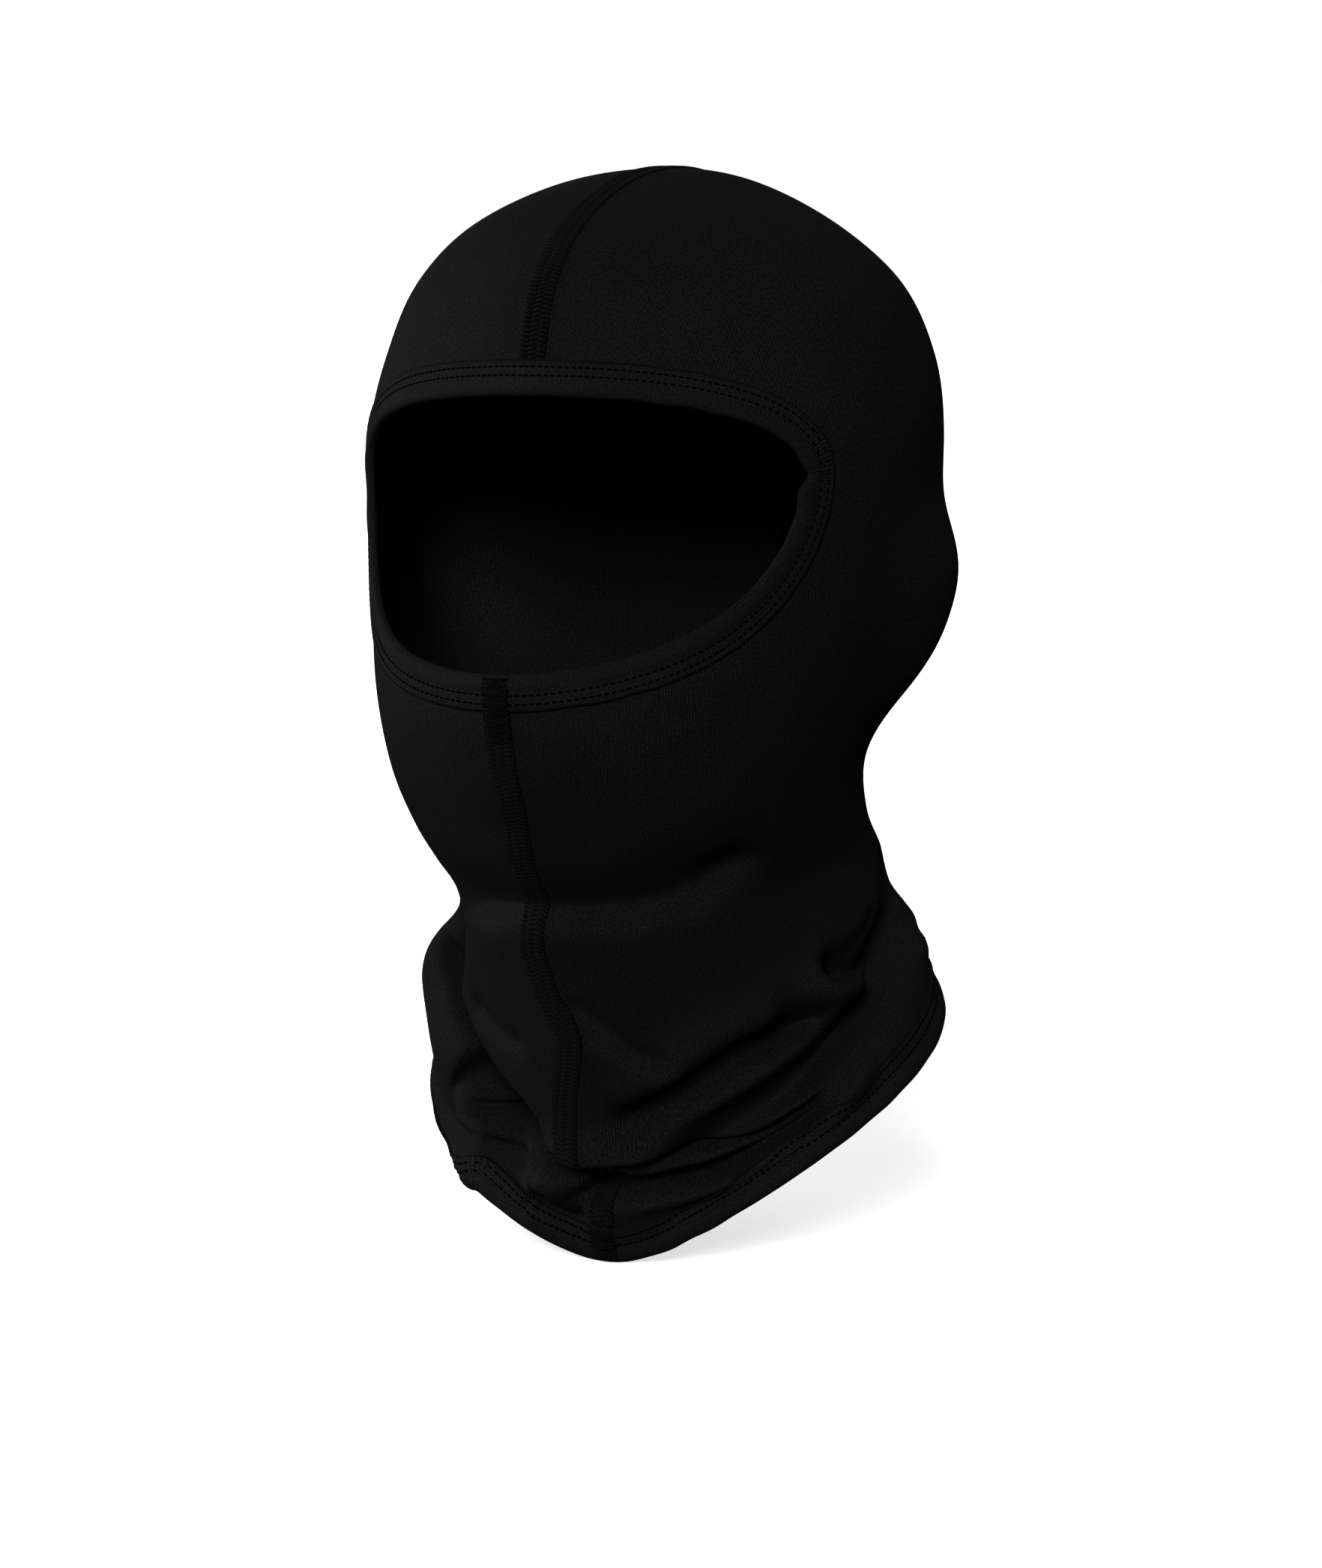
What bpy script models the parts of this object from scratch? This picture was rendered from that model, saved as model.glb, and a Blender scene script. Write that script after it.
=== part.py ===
"""Balaclava: a close-fitting knitted hood with one face opening and a loose neck.

Two knitted side panels meet in a flat seam that runs from the brow over the
crown to the nape, and in a second one that runs from the face opening over the
chin to the front of the hem. A folded tape binds the face opening and another
binds the hem, each held by two rows of stitches.

Frame: metres, +Z up, the wearer faces -Y and the wearer's left is +X. The
origin is the middle of the wearer's head, level with the ears.
"""
import bmesh
import bpy
import math
import numpy as np

NAME = "balaclava"

# The hood as rings of fabric, from the top of the head to the hem. A ring has
# its height at the front, side and back, the y of its centre, and its radius
# at 0, 45, 90, 135 and 180 degrees round from the front.
RINGS = np.array([
    (0.125, 0.125, 0.125, 0.008, 0.000, 0.000, 0.000, 0.000, 0.000),
    (0.121, 0.121, 0.121, 0.008, 0.036, 0.033, 0.027, 0.026, 0.032),
    (0.108, 0.108, 0.108, 0.006, 0.068, 0.062, 0.054, 0.053, 0.062),
    (0.090, 0.090, 0.090, 0.004, 0.086, 0.079, 0.073, 0.075, 0.084),
    (0.068, 0.068, 0.068, 0.002, 0.092, 0.087, 0.083, 0.086, 0.093),
    (0.045, 0.045, 0.045, 0.000, 0.094, 0.091, 0.087, 0.090, 0.098),
    (0.020, 0.020, 0.020, 0.000, 0.098, 0.092, 0.085, 0.089, 0.100),
    (-0.005, -0.005, -0.005, 0.000, 0.108, 0.093, 0.082, 0.084, 0.097),
    (-0.030, -0.030, -0.030, 0.000, 0.114, 0.092, 0.075, 0.074, 0.089),
    (-0.055, -0.055, -0.055, 0.000, 0.108, 0.087, 0.066, 0.066, 0.077),
    (-0.074, -0.074, -0.072, 0.002, 0.099, 0.080, 0.063, 0.065, 0.070),
    (-0.092, -0.088, -0.084, 0.008, 0.096, 0.072, 0.063, 0.065, 0.063),
    (-0.115, -0.101, -0.094, 0.014, 0.090, 0.073, 0.067, 0.063, 0.060),
    (-0.145, -0.113, -0.105, 0.018, 0.082, 0.076, 0.074, 0.060, 0.059),
    (-0.176, -0.125, -0.115, 0.020, 0.071, 0.078, 0.080, 0.060, 0.057),
    (-0.208, -0.137, -0.126, 0.022, 0.059, 0.080, 0.085, 0.061, 0.056),
])
HEM_ROW = len(RINGS) - 1

# The ears push the fabric out.
EAR_ANGLE = math.radians(103)
EAR_HEIGHT = -0.009
EAR_HALF_HEIGHT = 0.030
EAR_HALF_LENGTH = math.radians(15)
EAR_BULGE = 0.011

# The face opening, at the edge of the panels: its widest level, its heights
# above and below that level, and its half width as an angle round the head.
OPENING_LEVEL = 0.034
OPENING_UP = 0.0245
OPENING_DOWN = 0.059
OPENING_HALF_ANGLE = math.radians(53.5)
OPENING_SQUARENESS_UP = 2.2
OPENING_SQUARENESS_DOWN = 1.85

# Thicknesses and gaps. Pieces that touch on the real garment keep a small gap.
FABRIC = 0.0008
GAP = 0.0004
PANEL_GAP = 0.0004
TAPE = 0.0005
TAPE_WIDTH = 0.0098
TAPE_CLEARANCE = 0.0009
TAPE_OVERHANG = 0.0015
THREAD_RADIUS = 0.00025
STITCH_ROWS = (0.0050, 0.0076)
SEAM_WIDTH = 0.0085
SEAM_THICKNESS = 0.0005
SEAM_CLEARANCE = 0.0010
UNDER_SEAM_WIDTH = 0.0070
TACK_WIDTH = 0.0098
TACK_THICKNESS = 0.0006
LOOPER_THICKNESS = 0.0004
LABEL_WIDTH = 0.020
LABEL_LENGTH = 0.030
LABEL_THICKNESS = 0.0005
CROWN_RADIUS = 0.085

# Facets
PANEL_COLUMNS = 24
PANEL_ROWS = 38
OPENING_STEPS = 68
HEM_STEPS = 72
TACK_STEPS = 4
LEAST_ROW_STEP = 0.1
SHARP_ANGLE = math.radians(50)

# Edge steps from the front seam at which a stitch row stops, clear of the tack
FACE_CLEAR_STEPS = 3
HEM_CLEAR_STEPS = 2

# The rows meet at the top of the head, so the fabric's normal there is the one at this row.
TOP_NORMAL_ROW = 0.2

# How far the cutter reaches in and out from the opening's edge, as shares of its radius
CUTTER_REACH = (0.6, 1.0, 2.4)

# Heights above the middle of the fabric, outward positive
TAPE_TOP = FABRIC / 2 + TAPE_CLEARANCE + TAPE
STITCH_HEIGHT = TAPE_TOP + GAP + THREAD_RADIUS
SEAM_BOTTOM = FABRIC / 2 + GAP
TACK_BOTTOM = TAPE_TOP + GAP
LOOPER_TOP = -TAPE_TOP - GAP
LABEL_TOP = LOOPER_TOP - LOOPER_THICKNESS - GAP

# Matrices that turn radii and heights at set angles into cosine series
RADIUS_ANGLES = np.radians((0, 45, 90, 135, 180))
HEIGHT_ANGLES = np.radians((0, 90, 180))
RADIUS_SERIES = np.linalg.inv(np.cos(np.outer(RADIUS_ANGLES, range(5))))
HEIGHT_SERIES = np.linalg.inv(np.cos(np.outer(HEIGHT_ANGLES, range(3))))


def ring_at(row):
    """The ring at a fractional row, on a smooth curve through the table."""
    above = RINGS[1].copy()
    above[4:] *= -1
    below = 2 * RINGS[-1] - RINGS[-2]
    rings = np.vstack([above, RINGS, below])
    first = int(min(max(math.floor(row), 0), HEM_ROW - 1))
    t = row - first
    p0, p1, p2, p3 = rings[first:first + 4]
    return 0.5 * (2 * p1 + (p2 - p0) * t
                  + (2 * p0 - 5 * p1 + 4 * p2 - p3) * t ** 2
                  + (3 * p1 - p0 - 3 * p2 + p3) * t ** 3)


def ear_bulge(angle, height):
    """How far an ear pushes the fabric out, at an angle and height."""
    off_angle = (abs(angle) - EAR_ANGLE) / EAR_HALF_LENGTH
    off_height = (height - EAR_HEIGHT) / EAR_HALF_HEIGHT
    return EAR_BULGE * math.exp(-off_angle ** 2 - off_height ** 2 * abs(off_height))


def hood(row, angle):
    """The point on the middle of the fabric at a row and angle."""
    angle = (angle + math.pi) % (2 * math.pi) - math.pi
    ring = ring_at(row)
    waves = np.cos(angle * np.arange(5))
    height = float(HEIGHT_SERIES @ ring[0:3] @ waves[:3])
    radius = float(RADIUS_SERIES @ ring[4:9] @ waves) + ear_bulge(angle, height) * min(row, 1)
    return np.array([radius * math.sin(angle), ring[3] - radius * math.cos(angle), height])


def row_at_height(height):
    """The row whose front is at a height."""
    low, high = 0.0, float(HEM_ROW)
    for _ in range(40):
        middle = (low + high) / 2
        if hood(middle, 0.0)[2] > height:
            low = middle
        else:
            high = middle
    return low


def slopes(row, angle):
    """How the fabric's point changes with the row and with the angle."""
    step = 0.01
    by_row = (hood(row + step, angle) - hood(row - step, angle)) / (2 * step)
    by_angle = (hood(row, angle + step) - hood(row, angle - step)) / (2 * step)
    return by_row, by_angle


def outward(row, angle):
    """The fabric's normal, away from the head."""
    by_row, by_angle = slopes(row, angle)
    normal = np.cross(by_row, by_angle)
    return normal / np.linalg.norm(normal)


def shifted(row, angle, along, distance):
    """The row and angle at a distance over the fabric in a direction."""
    by_row, by_angle = slopes(row, angle)
    basis = np.stack([by_row, by_angle], axis=1)
    d_row, d_angle = np.linalg.lstsq(basis, along * distance, rcond=None)[0]
    return row + d_row, angle + d_angle


def opening_edge():
    """Rows and angles round the face opening, from the middle of its bottom edge."""
    edge = []
    for step in range(OPENING_STEPS):
        turn = 2 * math.pi * step / OPENING_STEPS
        side, rise = math.sin(turn), -math.cos(turn)
        squareness = OPENING_SQUARENESS_UP if rise > 0 else OPENING_SQUARENESS_DOWN
        reach = OPENING_UP if rise > 0 else OPENING_DOWN
        angle = OPENING_HALF_ANGLE * math.copysign(abs(side) ** (2 / squareness), side)
        height = OPENING_LEVEL + reach * math.copysign(abs(rise) ** (2 / squareness), rise)
        edge.append((row_at_height(height), angle))
    return edge


def hem_edge():
    """Rows and angles round the hem, from the front."""
    return [(float(HEM_ROW), 2 * math.pi * step / HEM_STEPS) for step in range(HEM_STEPS)]


def edge_frames(edge, side):
    """Each edge point's row and angle with the direction over the fabric away from the edge."""
    points = [hood(row, angle) for row, angle in edge]
    frames = []
    for index, (row, angle) in enumerate(edge):
        tangent = points[(index + 1) % len(points)] - points[index - 1]
        away = np.cross(outward(row, angle), tangent)
        away *= side / np.linalg.norm(away)
        frames.append((row, angle, away))
    return frames


def beside_edge(frame, distance, lift):
    """The point at a distance from an edge over the fabric, and lifted off it."""
    row, angle, away = frame
    if distance > 0:
        near_row, near_angle = shifted(row, angle, away, distance)
        return hood(near_row, near_angle) + lift * outward(near_row, near_angle)
    return hood(row, angle) + distance * away + lift * outward(row, angle)


def material(name, colour, roughness, sheen):
    made = bpy.data.materials.new(name)
    made.use_nodes = True
    shader = made.node_tree.nodes["Principled BSDF"]
    shader.inputs["Base Color"].default_value = (*colour, 1)
    shader.inputs["Roughness"].default_value = roughness
    shader.inputs["Sheen Weight"].default_value = sheen
    return made


def new_object(name, data, collection, look):
    made = bpy.data.objects.new(name, data)
    made.data.materials.append(look)
    collection.objects.link(made)
    return made


def lofted(sections, closed):
    """A mesh through closed sections, its ends capped unless it runs round a loop."""
    mesh = bmesh.new()
    rings = [[mesh.verts.new(point) for point in section] for section in sections]
    pairs = list(zip(rings, rings[1:]))
    if closed:
        pairs.append((rings[-1], rings[0]))
    for ring, following in pairs:
        for index in range(len(ring)):
            after = (index + 1) % len(ring)
            mesh.faces.new((ring[index], ring[after], following[after], following[index]))
    if not closed:
        mesh.faces.new(rings[0])
        mesh.faces.new(rings[-1])
    bmesh.ops.recalc_face_normals(mesh, faces=mesh.faces)
    data = bpy.data.meshes.new("loft")
    mesh.to_mesh(data)
    mesh.free()
    return data


def panel(name, side, cutter, collection, look):
    """One half of the hood: a sheet with thickness, cut for the face opening."""
    mesh = bmesh.new()
    top = mesh.verts.new(hood(0.0, 0.0))
    rows = []
    for step in range(1, PANEL_ROWS + 1):
        row = HEM_ROW * step / PANEL_ROWS
        angles = [side * math.pi * column / PANEL_COLUMNS for column in range(PANEL_COLUMNS + 1)]
        rows.append([mesh.verts.new(hood(row, angle)) for angle in angles])
    for column in range(PANEL_COLUMNS):
        mesh.faces.new((top, rows[0][column + 1], rows[0][column]))
        for upper, lower in zip(rows, rows[1:]):
            mesh.faces.new((upper[column], upper[column + 1], lower[column + 1], lower[column]))
    bmesh.ops.recalc_face_normals(mesh, faces=mesh.faces)
    data = bpy.data.meshes.new(name)
    mesh.to_mesh(data)
    mesh.free()
    data.shade_smooth()
    made = new_object(name, data, collection, look)
    made.location.x = side * PANEL_GAP / 2
    thickness = made.modifiers.new("fabric thickness", "SOLIDIFY")
    thickness.thickness = FABRIC
    thickness.offset = 0
    cut = made.modifiers.new("face opening", "BOOLEAN")
    cut.object = cutter
    cut.operation = "DIFFERENCE"
    return made


def opening_cutter(edge, collection, look):
    """A plug whose sides pass through the opening's edge, along lines from the head's axis."""
    sections = []
    for scale in CUTTER_REACH:
        section = []
        for row, angle in edge:
            axis = np.array([0.0, ring_at(row)[3], 0.0])
            point = hood(row, angle)
            axis[2] = point[2]
            section.append(axis + scale * (point - axis))
        sections.append(section)
    made = new_object("opening_cutter", lofted(sections, False), collection, look)
    made.hide_render = True
    made.display_type = "WIRE"
    return made


def binding(name, frames, collection, look):
    """A tape folded over an edge, as a section swept round the loop."""
    inside = TAPE_TOP - TAPE
    stations = (TAPE_WIDTH, TAPE_WIDTH / 2, 0)
    outer = [(distance, TAPE_TOP) for distance in stations]
    inner = [(distance, -TAPE_TOP) for distance in reversed(stations)]
    inner_face = [(distance, -inside) for distance in stations]
    outer_face = [(distance, inside) for distance in reversed(stations)]
    fold, fold_inside = (-TAPE_OVERHANG, 0), (TAPE - TAPE_OVERHANG, 0)
    section = (*outer, fold, *inner, *inner_face, fold_inside, *outer_face)
    sections = [[beside_edge(frame, *corner) for corner in section] for frame in frames]
    made = new_object(name, lofted(sections, True), collection, look)
    made.data.shade_smooth()
    made.data.set_sharp_from_angle(angle=SHARP_ANGLE)
    return made


def stitch_row(name, frames, distance, clear_steps, collection, look):
    """A thread round a binding that stops at both sides of the tack on the front seam."""
    curve = bpy.data.curves.new(name, "CURVE")
    curve.dimensions = "3D"
    curve.bevel_depth = THREAD_RADIUS
    curve.bevel_resolution = 0
    curve.use_fill_caps = True
    used = frames[clear_steps:len(frames) - clear_steps + 1]
    spline = curve.splines.new("POLY")
    spline.points.add(len(used) - 1)
    for point, frame in zip(spline.points, used):
        point.co = (*beside_edge(frame, distance, STITCH_HEIGHT), 1)
    return new_object(name, curve, collection, look)


def looper(name, frames, collection, look):
    """The flat ladder of thread inside a binding, behind its two rows of stitches."""
    near, far = STITCH_ROWS
    bottom = LOOPER_TOP - LOOPER_THICKNESS
    section = ((near, LOOPER_TOP), (far, LOOPER_TOP), (far, bottom), (near, bottom))
    sections = [[beside_edge(frame, *corner) for corner in section] for frame in frames]
    return new_object(name, lofted(sections, True), collection, look)


def across(row, angle, offset):
    """The point beside the seam line on the panels' facets, at an offset in x."""
    middle = hood(row, angle)
    side = math.copysign(math.pi / PANEL_COLUMNS, offset)
    beyond = hood(row, angle + side if angle == 0 else angle - side)
    if abs(beyond[0]) > abs(offset):
        return middle + (beyond - middle) * offset / beyond[0]
    return middle + np.array([offset, 0, -offset ** 2 / (2 * CROWN_RADIUS)])


def ribbon(name, path, width, bottom, thickness, collection, look):
    """A flat strip along the seam line, where path is a list of rows and angles."""
    line = [hood(row, angle) for row, angle in path]
    sections = []
    for index, (row, angle) in enumerate(path):
        run = line[min(index + 1, len(line) - 1)] - line[max(index - 1, 0)]
        normal = np.array([0.0, run[2], -run[1]]) / np.linalg.norm(run)
        if normal @ outward(max(row, TOP_NORMAL_ROW), angle) < 0:
            normal = -normal
        points = [across(row, angle, -width / 2), line[index], across(row, angle, width / 2)]
        under = [point + bottom * normal for point in points]
        over = [point + (bottom + thickness) * normal for point in reversed(points)]
        sections.append(under + over)
    return new_object(name, lofted(sections, False), collection, look)


def seam_path(start, end, angle):
    """Rows down the middle of the hood, the panels' own so that the facets agree."""
    rows = [HEM_ROW * step / PANEL_ROWS for step in range(PANEL_ROWS + 1)]
    low, high = min(start, end), max(start, end)
    between = [row for row in rows if low + LEAST_ROW_STEP < row < high - LEAST_ROW_STEP]
    if start > end:
        between.reverse()
    return [(row, angle) for row in (start, *between, end)]


def tack_path(frame):
    """Rows across a binding, from its edge to its lip."""
    row, angle, away = frame
    steps = [TAPE_WIDTH * step / TACK_STEPS for step in range(TACK_STEPS + 1)]
    return [(shifted(row, angle, away, distance)[0], angle) for distance in steps]


def main():
    for old in list(bpy.data.objects):
        bpy.data.objects.remove(old)
    hood_parts = bpy.data.collections.new(NAME)
    cutters = bpy.data.collections.new("cutters")
    bpy.context.scene.collection.children.link(hood_parts)
    bpy.context.scene.collection.children.link(cutters)

    knit = material("black_knit", (0.012, 0.012, 0.013), 0.75, 0.3)
    tape = material("black_binding_tape", (0.011, 0.011, 0.012), 0.8, 0.3)
    thread = material("black_thread", (0.008, 0.008, 0.008), 0.6, 0.1)
    satin = material("white_label_satin", (0.75, 0.75, 0.73), 0.45, 0.2)

    edge = opening_edge()
    cutter = opening_cutter(edge, cutters, knit)
    panel("left_panel", 1, cutter, hood_parts, knit)
    panel("right_panel", -1, cutter, hood_parts, knit)

    face = edge_frames(edge, -1)
    hem = edge_frames(hem_edge(), 1)
    binding("face_binding", face, hood_parts, tape)
    binding("hem_binding", hem, hood_parts, tape)
    for name, distance in zip(("inner", "outer"), STITCH_ROWS):
        stitch_row("face_stitch_row_" + name, face, distance, FACE_CLEAR_STEPS, hood_parts, thread)
    for name, distance in zip(("lower", "upper"), STITCH_ROWS):
        stitch_row("hem_stitch_row_" + name, hem, distance, HEM_CLEAR_STEPS, hood_parts, thread)
    looper("face_looper_thread", face, hood_parts, thread)
    looper("hem_looper_thread", hem, hood_parts, thread)

    clear = TAPE_WIDTH + SEAM_CLEARANCE
    brow, _ = shifted(edge[OPENING_STEPS // 2][0], 0.0, np.array([0, 0, 1.0]), clear)
    chin, _ = shifted(edge[0][0], 0.0, np.array([0, 0, -1.0]), clear)
    front_hem, _ = shifted(HEM_ROW, 0.0, hem[0][2], clear)
    back_hem, _ = shifted(HEM_ROW, math.pi, hem[HEM_STEPS // 2][2], clear)
    over_crown = seam_path(brow, 0.0, 0.0)[:-1] + seam_path(0.0, back_hem, math.pi)
    down_front = seam_path(chin, front_hem, 0.0)
    for name, path in (("crown_seam", over_crown), ("front_seam", down_front)):
        under = -SEAM_BOTTOM - SEAM_THICKNESS
        ribbon(name + "_cover_thread", path, SEAM_WIDTH, SEAM_BOTTOM, SEAM_THICKNESS, hood_parts, thread)
        ribbon(name + "_under_thread", path, UNDER_SEAM_WIDTH, under, SEAM_THICKNESS, hood_parts, thread)

    for name, frame in (("chin_bar_tack", face[0]), ("front_hem_bar_tack", hem[0])):
        ribbon(name, tack_path(frame), TACK_WIDTH, TACK_BOTTOM, TACK_THICKNESS, hood_parts, thread)

    label_top, _ = shifted(HEM_ROW, math.pi, hem[HEM_STEPS // 2][2], LABEL_LENGTH + TAPE_WIDTH)
    label_path = seam_path(label_top, back_hem, math.pi)
    ribbon("care_label", label_path, LABEL_WIDTH, LABEL_TOP - LABEL_THICKNESS, LABEL_THICKNESS,
           hood_parts, satin)


main()
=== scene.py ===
"""A black stretch-knit balaclava: two jersey panels, bound edges, flat seams and their threads."""
import math
import bmesh
import bpy
import numpy as np
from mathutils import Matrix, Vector
from mathutils.bvhtree import BVHTree

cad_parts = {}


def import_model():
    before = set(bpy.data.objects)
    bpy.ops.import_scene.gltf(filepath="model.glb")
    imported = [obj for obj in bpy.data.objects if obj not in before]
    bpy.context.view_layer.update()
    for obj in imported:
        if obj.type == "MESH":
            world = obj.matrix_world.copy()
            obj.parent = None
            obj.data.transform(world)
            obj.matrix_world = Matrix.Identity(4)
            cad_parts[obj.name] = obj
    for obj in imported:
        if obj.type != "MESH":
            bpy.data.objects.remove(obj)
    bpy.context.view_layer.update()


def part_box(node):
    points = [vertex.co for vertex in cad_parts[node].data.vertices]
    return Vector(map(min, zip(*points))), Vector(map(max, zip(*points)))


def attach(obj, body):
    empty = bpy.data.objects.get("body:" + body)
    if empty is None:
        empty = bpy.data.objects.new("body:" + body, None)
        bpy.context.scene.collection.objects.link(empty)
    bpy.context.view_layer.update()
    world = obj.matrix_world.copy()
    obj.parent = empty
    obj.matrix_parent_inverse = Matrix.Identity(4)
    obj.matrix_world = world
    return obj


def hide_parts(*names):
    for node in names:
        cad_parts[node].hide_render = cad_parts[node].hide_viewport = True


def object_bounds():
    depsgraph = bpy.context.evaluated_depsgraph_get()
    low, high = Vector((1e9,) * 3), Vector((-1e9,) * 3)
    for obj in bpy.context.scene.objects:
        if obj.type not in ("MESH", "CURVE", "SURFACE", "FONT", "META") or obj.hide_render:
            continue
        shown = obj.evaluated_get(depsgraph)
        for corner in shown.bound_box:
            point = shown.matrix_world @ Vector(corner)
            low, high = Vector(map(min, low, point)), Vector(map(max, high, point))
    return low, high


MM = 0.001
BODY = "root"

# The hood's rings from the crown to the hem, in metres: the height at the front, the sides and
# the back, the centre's depth, and the radius at 0, 45, 90, 135 and 180 degrees from the front.
RINGS = np.array([
    (0.125, 0.125, 0.125, 0.008, 0.000, 0.000, 0.000, 0.000, 0.000),
    (0.121, 0.121, 0.121, 0.008, 0.036, 0.033, 0.027, 0.026, 0.032),
    (0.108, 0.108, 0.108, 0.006, 0.068, 0.062, 0.054, 0.053, 0.062),
    (0.090, 0.090, 0.090, 0.004, 0.086, 0.079, 0.073, 0.075, 0.084),
    (0.068, 0.068, 0.068, 0.002, 0.092, 0.087, 0.083, 0.086, 0.093),
    (0.045, 0.045, 0.045, 0.000, 0.094, 0.091, 0.087, 0.090, 0.098),
    (0.020, 0.020, 0.020, 0.000, 0.098, 0.092, 0.085, 0.089, 0.100),
    (-0.005, -0.005, -0.005, 0.000, 0.108, 0.093, 0.082, 0.084, 0.097),
    (-0.030, -0.030, -0.030, 0.000, 0.114, 0.092, 0.075, 0.074, 0.089),
    (-0.055, -0.055, -0.055, 0.000, 0.108, 0.087, 0.066, 0.066, 0.077),
    (-0.074, -0.074, -0.072, 0.002, 0.099, 0.080, 0.063, 0.065, 0.070),
    (-0.092, -0.088, -0.084, 0.008, 0.096, 0.072, 0.063, 0.065, 0.063),
    (-0.115, -0.101, -0.094, 0.014, 0.090, 0.073, 0.067, 0.063, 0.060),
    (-0.145, -0.113, -0.105, 0.018, 0.082, 0.076, 0.074, 0.060, 0.059),
    (-0.176, -0.125, -0.115, 0.020, 0.071, 0.078, 0.080, 0.060, 0.057),
    (-0.208, -0.137, -0.126, 0.022, 0.059, 0.080, 0.085, 0.061, 0.056),
])
HEM_ROW = len(RINGS) - 1
EAR_ANGLE = math.radians(103)
EAR_HEIGHT = -0.009
EAR_HALF_HEIGHT = 0.030
EAR_HALF_LENGTH = math.radians(15)
EAR_BULGE = 0.011
RADIUS_SERIES = np.linalg.inv(np.cos(np.outer(np.radians((0, 45, 90, 135, 180)), range(5))))
HEIGHT_SERIES = np.linalg.inv(np.cos(np.outer(np.radians((0, 90, 180)), range(3))))

OPENING_LEVEL = 0.034
OPENING_UP = 0.0245
OPENING_DOWN = 0.059
OPENING_HALF_ANGLE = math.radians(53.5)
SQUARENESS_UP = 2.2
SQUARENESS_DOWN = 1.85

FABRIC = 0.0008
HEAD_STEPS = 100
NECK_STEPS = 150
NECK_ROW = 10.5
HALF_COLUMNS = 190
TUCK_LENGTH = 0.012
TUCK_RADIUS = 0.0028

# The picture's gamma, which deepens the blacks, and the world's light from below and above.
VIEW_GAMMA = 0.6
WORLD_LOW = 0.05
WORLD_HIGH = 0.2


# ---------------------------------------------------------------- the fabric's surface

def hood(row, angle):
    """Points of the smooth hood at rows and angles, both arrays of one shape."""
    above = RINGS[1].copy()
    above[4:] *= -1
    rings = np.vstack([above, RINGS, 2 * RINGS[-1] - RINGS[-2]])
    first = np.clip(np.floor(row).astype(int), 0, HEM_ROW - 1)
    t = (row - first)[..., None]
    p0, p1, p2, p3 = (rings[first + step] for step in range(4))
    ring = 0.5 * (2 * p1 + (p2 - p0) * t + (2 * p0 - 5 * p1 + 4 * p2 - p3) * t ** 2
                  + (3 * p1 - p0 - 3 * p2 + p3) * t ** 3)
    waves = np.cos(angle[..., None] * np.arange(5))
    height = ((ring[..., 0:3] @ HEIGHT_SERIES.T) * waves[..., :3]).sum(-1)
    radius = ((ring[..., 4:9] @ RADIUS_SERIES.T) * waves).sum(-1)
    wrapped = np.abs((angle + math.pi) % (2 * math.pi) - math.pi)
    off_angle = (wrapped - EAR_ANGLE) / EAR_HALF_LENGTH
    off_height = (height - EAR_HEIGHT) / EAR_HALF_HEIGHT
    ear = EAR_BULGE * np.exp(-off_angle ** 2 - off_height ** 2 * np.abs(off_height))
    radius = radius + ear * np.minimum(row, 1)
    return np.stack([radius * np.sin(angle), ring[..., 3] - radius * np.cos(angle), height], -1)


def unit(vectors):
    return vectors / np.maximum(np.linalg.norm(vectors, axis=-1, keepdims=True), 1e-12)


def smooth_path(points, per_span=8):
    """A smooth curve through control points, as an array of points."""
    points = np.asarray(points, float)
    padded = np.vstack([2 * points[0] - points[1], points, 2 * points[-1] - points[-2]])
    t = np.linspace(0, 1, per_span, endpoint=False)[:, None]
    spans = []
    for p0, p1, p2, p3 in zip(padded, padded[1:], padded[2:], padded[3:]):
        spans.append(0.5 * (2 * p1 + (p2 - p0) * t + (2 * p0 - 5 * p1 + 4 * p2 - p3) * t ** 2
                            + (3 * p1 - p0 - 3 * p2 + p3) * t ** 3))
    return np.vstack(spans + [points[-1:]])


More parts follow.
